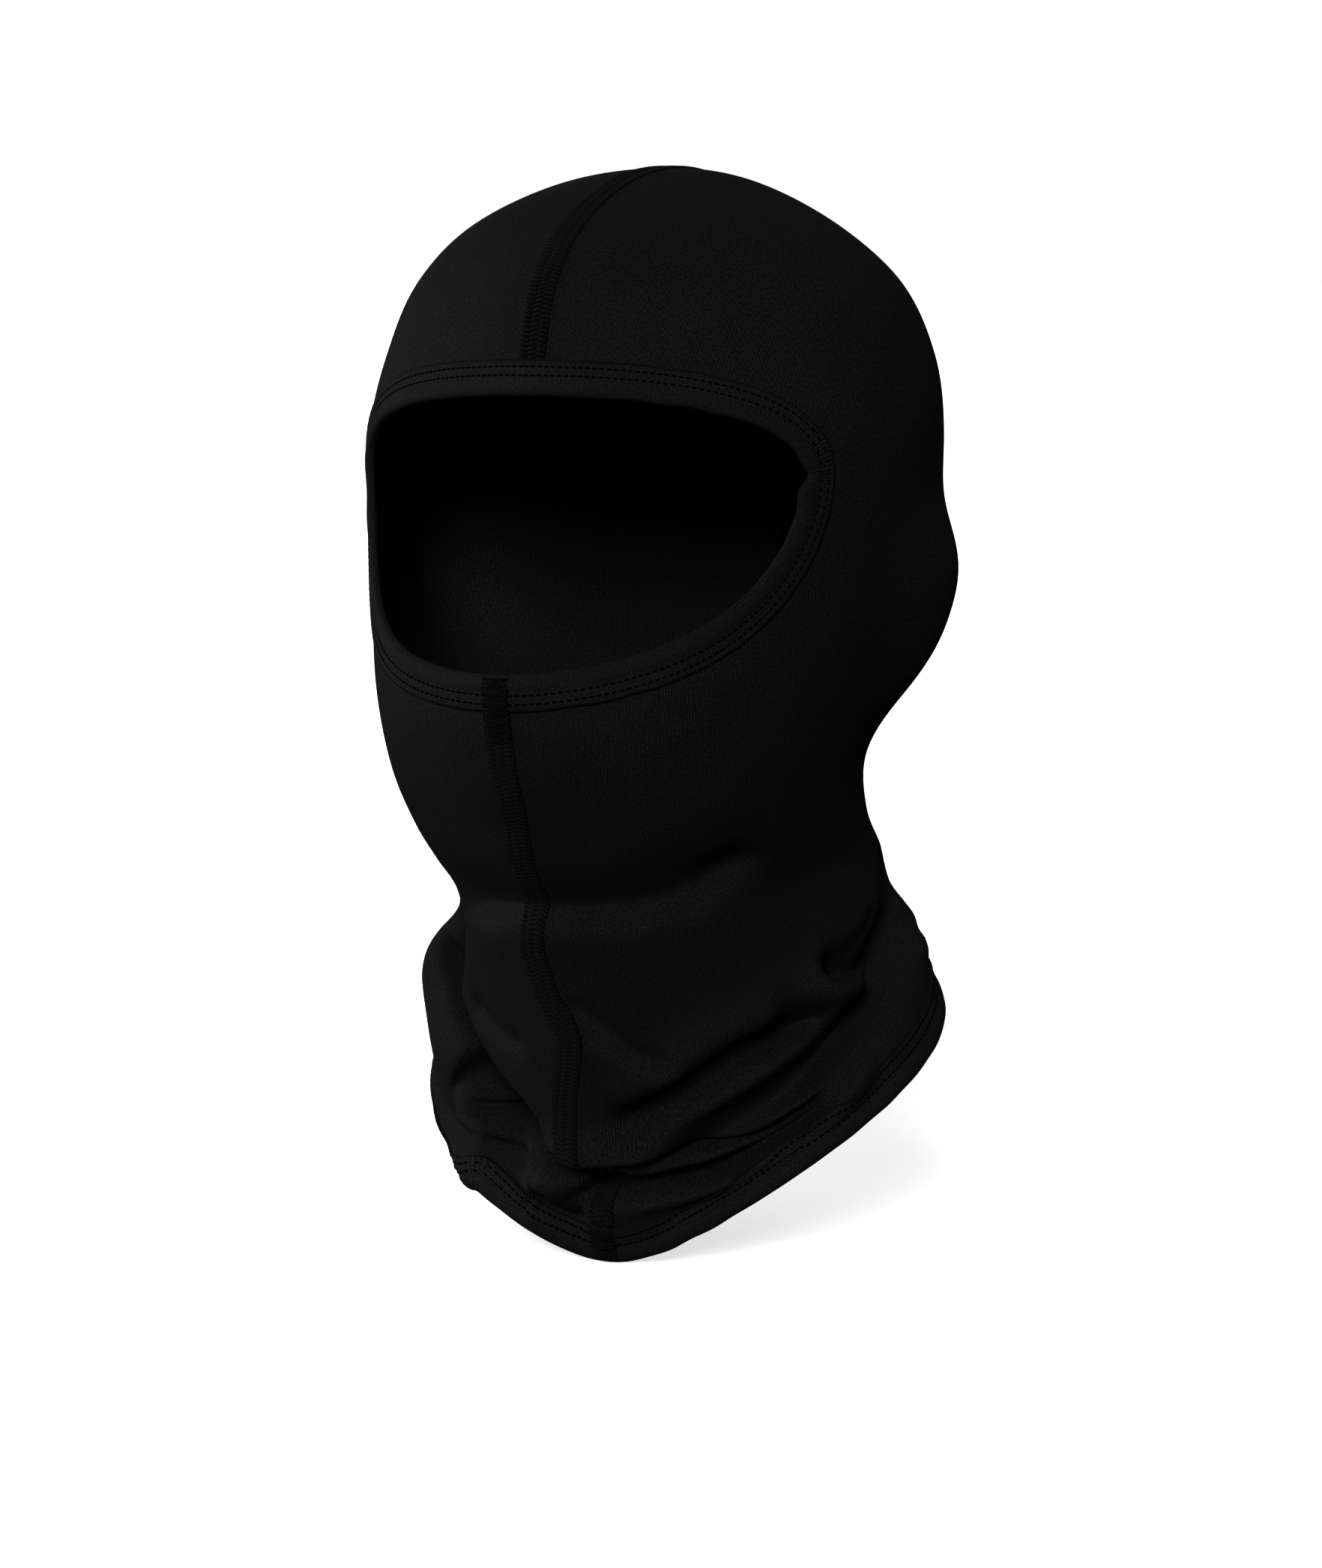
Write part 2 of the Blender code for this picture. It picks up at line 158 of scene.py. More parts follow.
# Each fold: height, width on the head's side, width on the hem's side, how far it hangs over,
# all in millimetres, then its course over the hood in rows and degrees, from the wearer's
# right to left or from the top down (then the first width is on the wearer's left).
FOLDS = [
    # across the front, under the hanging neck fold
    (5.0, 5.0, 2.6, 3.5, [(13.82, -16), (13.86, -8), (13.88, 0), (13.87, 4.5), (13.9, 13.5), (13.95, 23.5),
                          (14.06, 33), (14.1, 41.3), (14.06, 48.5), (13.9, 62)]),
    (-10.0, 2.2, 2.0, 0.0, [(14.27, -47), (14.19, -40.7), (14.08, -30.2), (14.09, -21.0), (14.13, -14.3),
                           (14.14, -5.0), (14.09, 4.8), (14.06, 13.3), (14.1, 23.5), (14.18, 33.0),
                           (14.25, 42.2), (14.2, 56)]),
    # the wearer's left side
    (-12.0, 5.5, 4.0, 0.0, [(13.8, 3.0), (13.62, 15), (13.43, 27), (13.26, 37), (13.24, 46), (13.14, 64)]),
    (3.0, 7.0, 5.0, 1.0, [(13.4, 6), (13.2, 18), (13.02, 28), (12.88, 38), (12.85, 50)]),
    (-2.4, 3.5, 2.5, 0.0, [(12.3, 0.5), (12.52, 5.8), (12.74, 10.7), (12.95, 15.3), (13.08, 23.0)]),
    (1.4, 3.0, 4.0, 0.0, [(12.7, 3.0), (12.97, 9), (13.16, 18), (13.2, 26)]),
    (-15.0, 5.5, 4.5, 0.0, [(13.96, 10), (13.96, 19), (14.0, 28), (14.0, 36), (13.95, 45), (13.82, 53),
                            (13.58, 66), (13.16, 83), (12.98, 94), (12.7, 112)]),
    (2.5, 4.0, 3.5, 0.5, [(13.74, 12), (13.7, 24), (13.63, 34), (13.52, 46), (13.38, 60)]),
    (4.0, 2.0, 2.0, 1.0, [(14.17, 2), (14.17, 8.2), (14.2, 20.0), (14.28, 31.3),
                          (14.33, 39.7), (14.32, 48.2),
                          (14.28, 56)]),
    (-15.0, 4.2, 3.2, 0.0, [(14.5, -13), (14.4, -4), (14.33, 3.0), (14.31, 12.7), (14.37, 23.3),
                            (14.44, 31.3),
                            (14.44, 45), (14.36, 59)]),
    (4.0, 2.8, 4.0, 1.0, [(14.5, 3.0), (14.44, 16.0), (14.5, 25.3), (14.55, 33.0), (14.55, 49.0), (14.4, 61),
                          (14.02, 67)]),
    (-3.5, 2.5, 2.5, 0.0, [(14.7, 18.0), (14.72, 33.0), (14.72, 41.0), (14.68, 51)]),
    (-15.0, 5.0, 4.5, 0.0, [(12.6, 58), (12.72, 69), (12.77, 78.7), (12.66, 87.3), (12.41, 98.5),
                            (11.95, 107),
                            (11.5, 113), (11.1, 122)]),
    (-2.5, 3.0, 3.0, 0.0, [(12.5, 62), (12.48, 72), (12.3, 83), (12.0, 91)]),
    (5.0, 6.0, 6.0, 1.0, [(12.76, 50), (12.9, 60.3), (12.98, 71.0), (12.84, 83.5), (12.64, 94), (12.2, 107),
                          (11.9, 118)]),
    (4.0, 6.0, 6.0, 1.0, [(13.5, 92), (13.3, 104), (13.1, 116), (13.0, 132), (13.1, 150)]),
    (-7.0, 4.0, 4.0, 0.0, [(13.9, 104), (13.8, 114), (13.7, 126), (13.7, 142)]),
    (0.8, 1.5, 2.5, 0.0, [(11.57, 17.0), (11.26, 25), (10.95, 33.2)]),
    (-6.5, 12.0, 5.0, 0.0, [(11.28, -28), (11.28, -14), (11.26, -2.5), (11.24, 11.5), (11.08, 27.3),
                            (10.72, 39.2), (10.2, 54)]),
    # the wearer's right side
    (3.5, 10.0, 11.0, 0.0, [(13.2, -124), (13.5, -106), (13.6, -92), (13.55, -78), (13.5, -66)]),
    (-8.0, 9.0, 16.0, 0.0, [(14.7, -122), (14.9, -104), (15.0, -84), (14.9, -66), (14.8, -50), (14.8, -38)]),
    (2.0, 12.5, 13.0, -17.0, [(11.6, -64), (12.1, -70), (12.6, -75), (13.0, -75), (13.4, -71), (13.8, -62),
                              (14.1, -48)]),
    (-38.0, 5.5, 13.0, 0.0, [(10.55, -32), (11.0, -33), (11.4, -35), (12.0, -42), (12.6, -49), (13.0, -48),
                             (13.3, -41), (13.6, -32), (13.85, -22), (14.0, -11)]),
    (4.0, 4.5, 3.0, 1.0, [(14.31, -50), (14.02, -40), (13.89, -29.2), (13.87, -20), (13.92, -11)]),
    (3.5, 2.6, 2.6, 0.5, [(14.5, -50), (14.33, -37), (14.24, -26.2), (14.3, -20.5), (14.44, -19.0),
                           (14.66, -22.0)]),
    (-3.5, 2.6, 3.0, 0.0, [(14.5, -38), (14.44, -30), (14.4, -22)]),
    (4.0, 5.0, 5.0, 0.0, [(14.36, -18), (14.36, -10), (14.33, -3)]),
    (-5.0, 4.0, 3.5, 0.0, [(14.58, -22), (14.7, -14.0), (14.7, -10.0), (14.58, -4)]),
    (1.5, 3.0, 2.5, 0.0, [(14.8, -24), (14.83, -17.7), (14.78, -8)]),
    (-2.2, 5.0, 3.5, 0.0, [(12.62, -31.0), (12.72, -25), (12.84, -19.5), (12.9, -11)]),
    # the back
    (-5.0, 6.0, 6.0, 0.0, [(12.3, -150), (12.5, -172), (12.4, -196), (12.2, -220)]),
    (3.5, 7.0, 7.0, 1.0, [(12.9, -146), (13.1, -170), (13.0, -195), (12.9, -222)]),
    (-5.0, 5.0, 5.0, 0.0, [(13.0, -100), (13.5, -120), (13.7, -142), (13.6, -165)]),
    (-4.0, 5.0, 5.0, 0.0, [(11.9, -96), (12.1, -112), (12.0, -130)]),
]

# Where the front seam strays from the middle of the neck: rows and degrees.
SEAM_DRIFT = [(9.4, 0), (10.0, -1.0), (11.01, -2.2), (11.82, -3.7), (12.31, -2.5), (12.61, 0), (12.76, 0.8),
              (13.05, -1.0), (13.35, -3.3), (13.68, -5.0), (13.98, -4.0), (14.15, 1.5), (14.39, 0.5),
              (14.69, -0.5), (15.0, -0.5)]


def drift(rows):
    """The front seam's angle at each row, in radians."""
    stations = np.array(SEAM_DRIFT)
    return np.radians(np.interp(rows, stations[:, 0], stations[:, 1], left=0.0))


def fold_moves(rest, rows, normals):
    """How far the folds move each point of the fabric."""
    moves = np.zeros_like(rest)
    low = rows > 9.0
    points, normal = rest[low], normals[low]
    total = np.zeros_like(points)
    for height, width_up, width_down, overhang, course in FOLDS:
        path = smooth_path(course)
        line = hood(path[:, 0], np.radians(path[:, 1]))
        length = np.concatenate([[0], np.cumsum(np.linalg.norm(np.diff(line, axis=0), axis=1))])
        reach = 3.2 * max(width_up, width_down) * MM
        box_low, box_high = line.min(0) - reach, line.max(0) + reach
        near = np.flatnonzero(((points > box_low) & (points < box_high)).all(1))
        best = np.full(len(near), 1e9)
        side = np.zeros(len(near))
        along = np.zeros(len(near))
        facing = normal[near]
        lean = unit(np.cross(line[-1] - line[0], facing))
        here = points[near]
        for start, end, done in zip(line, line[1:], length):
            span = end - start
            share = np.clip(((here - start) @ span) / (span @ span), 0, 1)
            gap = here - start - share[:, None] * span
            distance = np.linalg.norm(gap, axis=1)
            closer = distance < best
            best[closer] = distance[closer]
            side[closer] = (gap * np.cross(span, facing)).sum(1)[closer]
            along[closer] = done + share[closer] * np.linalg.norm(span)
        width = np.where(side > 0, width_down, width_up) * MM
        power = 2.0 if height > 0 else 1.7
        profile = np.exp(-(best / width) ** power)
        share = along / length[-1]
        fade = 0.16
        taper = np.clip(share / fade, 0, 1) * np.clip((1 - share) / fade, 0, 1)
        taper = taper * taper * (3 - 2 * taper)
        total[near] += (height * MM * profile * taper)[:, None] * normal[near]
        total[near] += (overhang * MM * profile * taper)[:, None] * lean
    moves[low] = total
    return moves


def smooth_step(value, low, high):
    share = np.clip((value - low) / (high - low), 0, 1)
    return share * share * (3 - 2 * share)


def turn_under(points, rows, columns):
    """The hem at the wearer's right, curled under and in behind the fold above it."""
    degrees = np.degrees(columns)
    amount = smooth_step(degrees, -122, -104) * smooth_step(-degrees, 36, 46) * TUCK_LENGTH
    start = int(np.searchsorted(rows, 13.9))
    moved = points.copy()
    for column in np.flatnonzero(amount > 0):
        line = points[start:, column]
        length = np.concatenate([[0], np.cumsum(np.linalg.norm(np.diff(line, axis=0), axis=1))])
        total, extra = length[-1], amount[column]
        down = unit(line[-1] - line[-4])
        after = points[-1, (column + 3) % len(columns)] - points[-1, column - 3]
        inward = -unit(np.cross(down, after))
        station = length * (total + extra) / total
        flat = np.stack([np.interp(station, length, line[:, axis]) for axis in range(3)], -1)
        turn = np.clip((station - total) / TUCK_RADIUS, 0, math.pi)[:, None]
        beyond = np.clip(station - total - math.pi * TUCK_RADIUS, 0, None)[:, None]
        curl = inward * TUCK_RADIUS * (1 - np.cos(turn)) + down * (TUCK_RADIUS * np.sin(turn) - beyond)
        moved[start:, column] = flat + curl
    return moved


def grid_rows():
    head = np.linspace(0.02, NECK_ROW, HEAD_STEPS, endpoint=False)
    neck = np.linspace(NECK_ROW, HEM_ROW, NECK_STEPS)
    return np.concatenate([head, neck])


def grid_quads(count):
    """The faces of a grid of points, as rows of four indices."""
    index = np.arange(count[0] * count[1]).reshape(count)
    return np.stack([index[:-1, :-1], index[1:, :-1], index[1:, 1:], index[:-1, 1:]], -1).reshape(-1, 4)


def fabric_surface():
    """The draped fabric as a grid: rows by columns, the front seam in the middle column."""
    rows = grid_rows()
    columns = np.linspace(-math.pi, math.pi, 2 * HALF_COLUMNS + 1)
    row, column = np.meshgrid(rows, columns, indexing="ij")
    stray = drift(rows)[:, None] * np.exp(-(column / math.radians(35)) ** 2)
    angle = column + stray
    rest = hood(row, angle)
    by_row = unit(hood(row + 0.01, angle) - hood(row - 0.01, angle))
    by_angle = unit(hood(row, angle + 0.01) - hood(row, angle - 0.01))
    normals = unit(np.cross(by_row, by_angle))
    moves = fold_moves(rest, row, normals)
    moved = turn_under(rest + moves, rows, columns)
    seam = (moved[:, 0] + moved[:, -1]) / 2
    moved[:, 0] = seam
    moved[:, -1] = seam
    return rows, columns, moved


def grid_normals(points):
    by_row = np.gradient(points, axis=0)
    wrapped = np.concatenate([points[:, -2:-1], points, points[:, 1:2]], axis=1)
    by_column = (wrapped[:, 2:] - wrapped[:, :-2]) / 2
    return unit(np.cross(by_row, by_column))


class Skin:
    """Finds points of the draped fabric and its normals there."""

    def __init__(self, rows, columns, points):
        self.rows = rows
        self.columns = columns
        self.points = points
        self.normals = grid_normals(points)
        count_rows, count_columns = points.shape[:2]
        index = np.arange(count_rows * count_columns).reshape(count_rows, count_columns)
        quads = np.stack([index[:-1, :-1], index[1:, :-1], index[1:, 1:], index[:-1, 1:]], -1)
        self.quads = quads.reshape(-1, 4)
        self.flat_points = points.reshape(-1, 3)
        self.flat_normals = self.normals.reshape(-1, 3)
        self.tree = BVHTree.FromPolygons(self.flat_points.tolist(), self.quads.tolist())

    def at(self, row, angle):
        """The point and normal at a row and an angle in radians."""
        angle = (angle + math.pi) % (2 * math.pi) - math.pi
        place_row = np.interp(row, self.rows, np.arange(len(self.rows)))
        place_column = np.interp(angle, self.columns, np.arange(len(self.columns)))
        first_row = int(min(place_row, len(self.rows) - 2))
        first_column = int(min(place_column, len(self.columns) - 2))
        across, along = place_column - first_column, place_row - first_row
        found = []
        for grid in (self.points, self.normals):
            top = grid[first_row, first_column] * (1 - across) + grid[first_row, first_column + 1] * across
            bottom = (grid[first_row + 1, first_column] * (1 - across)
                      + grid[first_row + 1, first_column + 1] * across)
            found.append(top * (1 - along) + bottom * along)
        return found[0], found[1] / np.linalg.norm(found[1])

    def nearest(self, point):
        """The fabric's nearest point and smooth normal."""
        place, _, face, _ = self.tree.find_nearest(Vector(point))
        place = np.array(place)
        corners = self.quads[face]
        gaps = np.linalg.norm(self.flat_points[corners] - place, axis=1)
        weights = 1 / np.maximum(gaps, 1e-6) ** 2
        normal = (self.flat_normals[corners] * weights[:, None]).sum(0)
        return place, normal / np.linalg.norm(normal)

    def walk(self, point, direction, distances):
        """Points and normals at distances over the fabric from a point, in a direction."""
        found = []
        place, normal = self.nearest(point)
        heading = direction
        gone = 0.0
        for distance in distances:
            while gone < distance - 1e-9:
                step = min(0.0012, distance - gone)
                heading = heading - normal * (heading @ normal)
                heading = heading / np.linalg.norm(heading)
                place, normal = self.nearest(place + heading * step)
                gone += step
            found.append((place, normal))
        return found


# ---------------------------------------------------------------- meshes

def new_mesh(name, points, faces, look, smooth=True):
    """A mesh piece of the hood, with its finish."""
    mesh = bpy.data.meshes.new(name)
    mesh.from_pydata(np.asarray(points, float).tolist(), [], [list(map(int, f)) for f in faces])
    mesh.update()
    piece = bpy.data.objects.new(name, mesh)
    bpy.context.scene.collection.objects.link(piece)
    mesh.materials.append(look)
    if smooth:
        mesh.polygons.foreach_set("use_smooth", [True] * len(mesh.polygons))
    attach(piece, BODY)
    return piece


def set_uv(piece, name, coordinates):
    """A UV map from one pair of metres per vertex."""
    mesh = piece.data
    layer = mesh.uv_layers.new(name=name)
    corners = np.empty(len(mesh.loops), np.int32)
    mesh.loops.foreach_get("vertex_index", corners)
    layer.data.foreach_set("uv", np.asarray(coordinates, np.float32)[corners].ravel())


def swept(sections, closed):
    """Points and faces of a band: sections by points, each section a closed loop."""
    sections = np.asarray(sections)
    count, size = sections.shape[:2]
    index = np.arange(count * size).reshape(count, size)
    after = np.roll(index, -1, axis=0) if closed else index[1:]
    before = index if closed else index[:-1]
    faces = np.stack([before, np.roll(before, -1, 1), np.roll(after, -1, 1), after], -1).reshape(-1, 4)
    faces = faces.tolist()
    if not closed:
        faces.append(index[0][::-1].tolist())
        faces.append(index[-1].tolist())
    return sections.reshape(-1, 3), faces


# ---------------------------------------------------------------- finishes

def finish_nodes(name, colour, roughness, sheen, specular):
    """A fresh shader with its plain values set, and its node tree."""
    look = bpy.data.materials.new(name)
    look.use_nodes = True
    tree = look.node_tree
    shader = tree.nodes["Principled BSDF"]
    shader.inputs["Base Color"].default_value = (*colour, 1)
    shader.inputs["Roughness"].default_value = roughness
    shader.inputs["Specular IOR Level"].default_value = specular
    shader.inputs["Sheen Weight"].default_value = sheen
    shader.inputs["Sheen Roughness"].default_value = 0.4
    return look, tree, shader


def maths(tree, operation, first, second=None, third=None):
    """A Math node on sockets or numbers, giving its output."""
    node = tree.nodes.new("ShaderNodeMath")
    node.operation = operation
    for socket, value in zip(node.inputs, (first, second, third)):
        if value is None:
            continue
        if isinstance(value, (int, float)):
            socket.default_value = value
        else:
            tree.links.new(value, socket)
    return node.outputs[0]


def uv_axes(tree, name):
    """The two coordinates of a UV map, in metres."""
    source = tree.nodes.new("ShaderNodeUVMap")
    source.uv_map = name
    split = tree.nodes.new("ShaderNodeSeparateXYZ")
    tree.links.new(source.outputs["UV"], split.inputs[0])
    return split.outputs[0], split.outputs[1], source.outputs["UV"]


def noise(tree, vector, scale, detail=2.0):
    node = tree.nodes.new("ShaderNodeTexNoise")
    node.inputs["Scale"].default_value = scale
    node.inputs["Detail"].default_value = detail
    if vector is not None:
        tree.links.new(vector, node.inputs["Vector"])
    return node.outputs["Fac"]


def wave(tree, coordinate, pitch, phase=None):
    """A cosine from 0 to 1 along a coordinate, one crest per pitch."""
    turn = maths(tree, "MULTIPLY", coordinate, 2 * math.pi / pitch)
    if phase is not None:
        turn = maths(tree, "ADD", turn, phase)
    return maths(tree, "MULTIPLY_ADD", maths(tree, "COSINE", turn), 0.5, 0.5)


def ramp(tree, value, source, target):
    """A smooth step from one range of values to another."""
    node = tree.nodes.new("ShaderNodeMapRange")
    node.interpolation_type = "SMOOTHSTEP"
    names = ("From Min", "From Max", "To Min", "To Max")
    for name, number in zip(names, (*source, *target)):
        node.inputs[name].default_value = number
    tree.links.new(value, node.inputs["Value"])
    return node.outputs["Result"]


def add_bump(tree, shader, height, distance, strength=1.0):
    bump = tree.nodes.new("ShaderNodeBump")
    bump.inputs["Strength"].default_value = strength
    bump.inputs["Distance"].default_value = distance
    tree.links.new(height, bump.inputs["Height"])
    tree.links.new(bump.outputs["Normal"], shader.inputs["Normal"])


def shade_colour(tree, shader, amount, dark, light):
    """Base colour between two shades."""
    mix = tree.nodes.new("ShaderNodeMix")
    mix.data_type = "RGBA"
    mix.inputs["A"].default_value = (*dark, 1)
    mix.inputs["B"].default_value = (*light, 1)
    tree.links.new(amount, mix.inputs["Factor"])
    tree.links.new(mix.outputs["Result"], shader.inputs["Base Color"])


KNIT_TONES = ((0.014, 0.014, 0.0142), (0.039, 0.039, 0.0398))


def knit_finish():
    """Fine black jersey: upright ribs of small V stitches, fuzzy and uneven."""
    look, tree, shader = finish_nodes("black_knit", (0.028, 0.028, 0.0285), 0.7, 0.02, 0.12)
    u, v, uv = uv_axes(tree, "knit")
    sway = maths(tree, "MULTIPLY_ADD", noise(tree, uv, 160.0), 0.0006, u)
    rib = wave(tree, sway, 0.00082)
    fold = maths(tree, "ABSOLUTE", maths(tree, "SUBTRACT", rib, 0.5))
    stitch = wave(tree, v, 0.00072, maths(tree, "MULTIPLY", fold, 5.0))
    fuzz = noise(tree, uv, 2600.0, 3.0)
    height = maths(tree, "MULTIPLY_ADD", stitch, 0.25, rib)
    height = maths(tree, "MULTIPLY_ADD", fuzz, 0.5, height)
    add_bump(tree, shader, height, 0.00018)
    patch = noise(tree, uv, 45.0, 3.0)
    speck = noise(tree, uv, 1400.0, 3.0)
    grain = maths(tree, "MULTIPLY_ADD", maths(tree, "SUBTRACT", speck, 0.5), 3.0,
                  maths(tree, "MULTIPLY", patch, 0.35))
    shade = maths(tree, "MULTIPLY_ADD", rib, 0.55, grain)
    shade_colour(tree, shader, shade, *KNIT_TONES)
    return look


def tape_finish():
    """The binding's knit tape: close ribs square to the edge."""
    look, tree, shader = finish_nodes("black_tape", (0.028, 0.028, 0.0285), 0.7, 0.02, 0.12)
    u, v, uv = uv_axes(tree, "tape")
    sway = maths(tree, "MULTIPLY_ADD", noise(tree, uv, 220.0), 0.0005, u)
    rib = wave(tree, sway, 0.00078)
    stitch = wave(tree, v, 0.0006)
    fuzz = noise(tree, uv, 2600.0, 3.0)
    height = maths(tree, "MULTIPLY_ADD", stitch, 0.2, rib)
    height = maths(tree, "MULTIPLY_ADD", fuzz, 0.5, height)
    add_bump(tree, shader, height, 0.00015)
    speck = noise(tree, uv, 1400.0, 3.0)
    grain = maths(tree, "MULTIPLY", maths(tree, "SUBTRACT", speck, 0.45), 2.6)
    shade = maths(tree, "MULTIPLY_ADD", rib, 0.75, grain)
    # painted shadow: the tape's outer lip, about the first millimetre of its chart, is darkened as if shaded
    # by a gap under it
    shade = maths(tree, "MULTIPLY", shade, ramp(tree, v, (0.0010, 0.0016), (-0.4, 1.0)))
    shade_colour(tree, shader, shade, *KNIT_TONES)
    return look


def thread_finish(name, lightness):
    """Spun polyester sewing thread with a fine twist."""
    base = (0.02 * lightness, 0.02 * lightness, 0.0204 * lightness)
    look, tree, shader = finish_nodes(name, base, 0.5, 0.0, 0.2 * lightness)
    place = tree.nodes.new("ShaderNodeTexCoord").outputs["Object"]
    twist = noise(tree, place, 5200.0, 2.0)
    add_bump(tree, shader, twist, 0.00008)
    dark = tuple(0.55 * value for value in base)
    light = tuple(1.5 * value for value in base)
    shade_colour(tree, shader, twist, dark, light)
    return look


LADDER_TONES = ((0.002, 0.002, 0.0021), (0.026, 0.026, 0.0265))


def ladder_finish(name, lightness):
    """Looper thread laid in a close ladder under the cover threads of a flat seam."""
    look, tree, shader = finish_nodes(name, (0.02, 0.02, 0.0204), 0.8, 0.02, 0.1)
    u, v, uv = uv_axes(tree, "seam")
    lean = maths(tree, "MULTIPLY_ADD", u, 0.35, v)
    rung = wave(tree, lean, 0.00047)
    # painted shade: the strip's colour is darkened towards both its edges, where it meets the fabric
    painted_edge_shade = ramp(tree, maths(tree, "ABSOLUTE", u), (0.0030, 0.0038), (1.0, -0.5))
    fuzz = noise(tree, uv, 2200.0, 3.0)
    height = maths(tree, "MULTIPLY_ADD", fuzz, 0.8, rung)
    add_bump(tree, shader, height, 0.0002)
    shade = maths(tree, "MULTIPLY", rung, painted_edge_shade)
    dark, light = (tuple(lightness * value for value in tone) for tone in LADDER_TONES)
    shade_colour(tree, shader, shade, dark, light)
    return look


def satin_finish():
    """Plain satin of the care label."""
    look, tree, shader = finish_nodes("label_satin", (0.62, 0.61, 0.58), 0.42, 0.1, 0.4)
    place = tree.nodes.new("ShaderNodeTexCoord").outputs["Object"]
    weave = noise(tree, place, 3000.0, 2.0)
    add_bump(tree, shader, weave, 0.00005)
    shade_colour(tree, shader, weave, (0.55, 0.54, 0.51), (0.70, 0.69, 0.66))
    return look


def floor_finish():
    look, tree, shader = finish_nodes("pale_floor", (0.9, 0.9, 0.9), 0.9, 0.0, 0.1)
    place = tree.nodes.new("ShaderNodeTexCoord").outputs["Object"]
    shade_colour(tree, shader, noise(tree, place, 3.0), (0.89, 0.89, 0.89), (0.92, 0.92, 0.92))
    shader.inputs["Emission Color"].default_value = (1, 1, 1, 1)
    shader.inputs["Emission Strength"].default_value = 0.5
    return look


# ---------------------------------------------------------------- the two jersey panels

def opening_radius(angle, height, margin):
    """Below 1 inside the face opening grown by a margin in metres."""
    up = height > OPENING_LEVEL
    reach = np.where(up, OPENING_UP, OPENING_DOWN) + margin
    power = np.where(up, SQUARENESS_UP, SQUARENESS_DOWN)
    across = np.abs(angle) / (OPENING_HALF_ANGLE + margin / 0.09)
    rise = np.abs(height - OPENING_LEVEL) / reach
    return across ** power + rise ** power


def resampled(grid, old, new):
    """A grid's first axis moved from old stations to new ones along smooth curves."""
    old, new = np.asarray(old, float), np.asarray(new, float)
    slopes = np.gradient(grid, old, axis=0)
    first = np.clip(np.searchsorted(old, new) - 1, 0, len(old) - 2)
    span = (old[first + 1] - old[first])
    t = (new - old[first]) / span
    shape = (-1,) + (1,) * (grid.ndim - 1)
    t, span = t.reshape(shape), span.reshape(shape)
    return ((2 * t ** 3 - 3 * t ** 2 + 1) * grid[first] + (t ** 3 - 2 * t ** 2 + t) * span * slopes[first]
            + (3 * t ** 2 - 2 * t ** 3) * grid[first + 1] + (t ** 3 - t ** 2) * span * slopes[first + 1])


def flat_pattern(rows, columns):
    """The left panel laid flat: for every grid point its place on the cut cloth, in metres."""
    coarse_rows = np.linspace(0.35, HEM_ROW, 44)
    coarse_columns = np.linspace(0, math.pi, 26)
    row, column = np.meshgrid(coarse_rows, coarse_columns, indexing="ij")
    points = hood(row, column)
    count = points.shape[:2]
    quads = grid_quads(count)
    mesh = bpy.data.meshes.new("pattern")
    mesh.from_pydata(points.reshape(-1, 3).tolist(), [], quads.tolist())
    mesh.uv_layers.new(name="pattern")
    piece = bpy.data.objects.new("pattern", mesh)
    bpy.context.scene.collection.objects.link(piece)
    bpy.context.view_layer.objects.active = piece
    piece.select_set(True)
    bpy.ops.object.mode_set(mode="EDIT")
    bpy.ops.mesh.select_all(action="SELECT")
    bpy.ops.uv.unwrap(method="ANGLE_BASED", margin=0.0)
    bpy.ops.object.mode_set(mode="OBJECT")
    flat = np.zeros((count[0] * count[1], 2))
    layer = np.empty(len(mesh.loops) * 2, np.float32)
    mesh.uv_layers[0].data.foreach_get("uv", layer)
    corners = np.empty(len(mesh.loops), np.int32)
    mesh.loops.foreach_get("vertex_index", corners)
    flat[corners] = layer.reshape(-1, 2)
    bpy.data.objects.remove(piece)
    corner = flat[quads]
    ring = points.reshape(-1, 3)[quads]
    across, along = corner[:, 2] - corner[:, 0], corner[:, 3] - corner[:, 1]
    flat_area = 0.5 * (across[:, 0] * along[:, 1] - across[:, 1] * along[:, 0])
    area = 0.5 * np.linalg.norm(np.cross(ring[:, 2] - ring[:, 0], ring[:, 3] - ring[:, 1]), axis=1)
    flat *= math.sqrt(area.sum() / np.abs(flat_area).sum())
    flat = flat.reshape(*count, 2)
    cheek_row, cheek_column = np.argmin(np.abs(coarse_rows - 8)), np.argmin(np.abs(coarse_columns - 1.2))
    down = flat[cheek_row + 2, cheek_column] - flat[cheek_row - 2, cheek_column]
    turn = -math.pi / 2 - math.atan2(down[1], down[0])
    spin = np.array([[math.cos(turn), math.sin(turn)], [-math.sin(turn), math.cos(turn)]])
    flat = flat @ spin
    if flat_area.sum() > 0:
        flat[..., 0] *= -1
    flat = resampled(flat, coarse_rows, rows)
    flat = resampled(flat.swapaxes(0, 1), coarse_columns, columns).swapaxes(0, 1)
    return flat


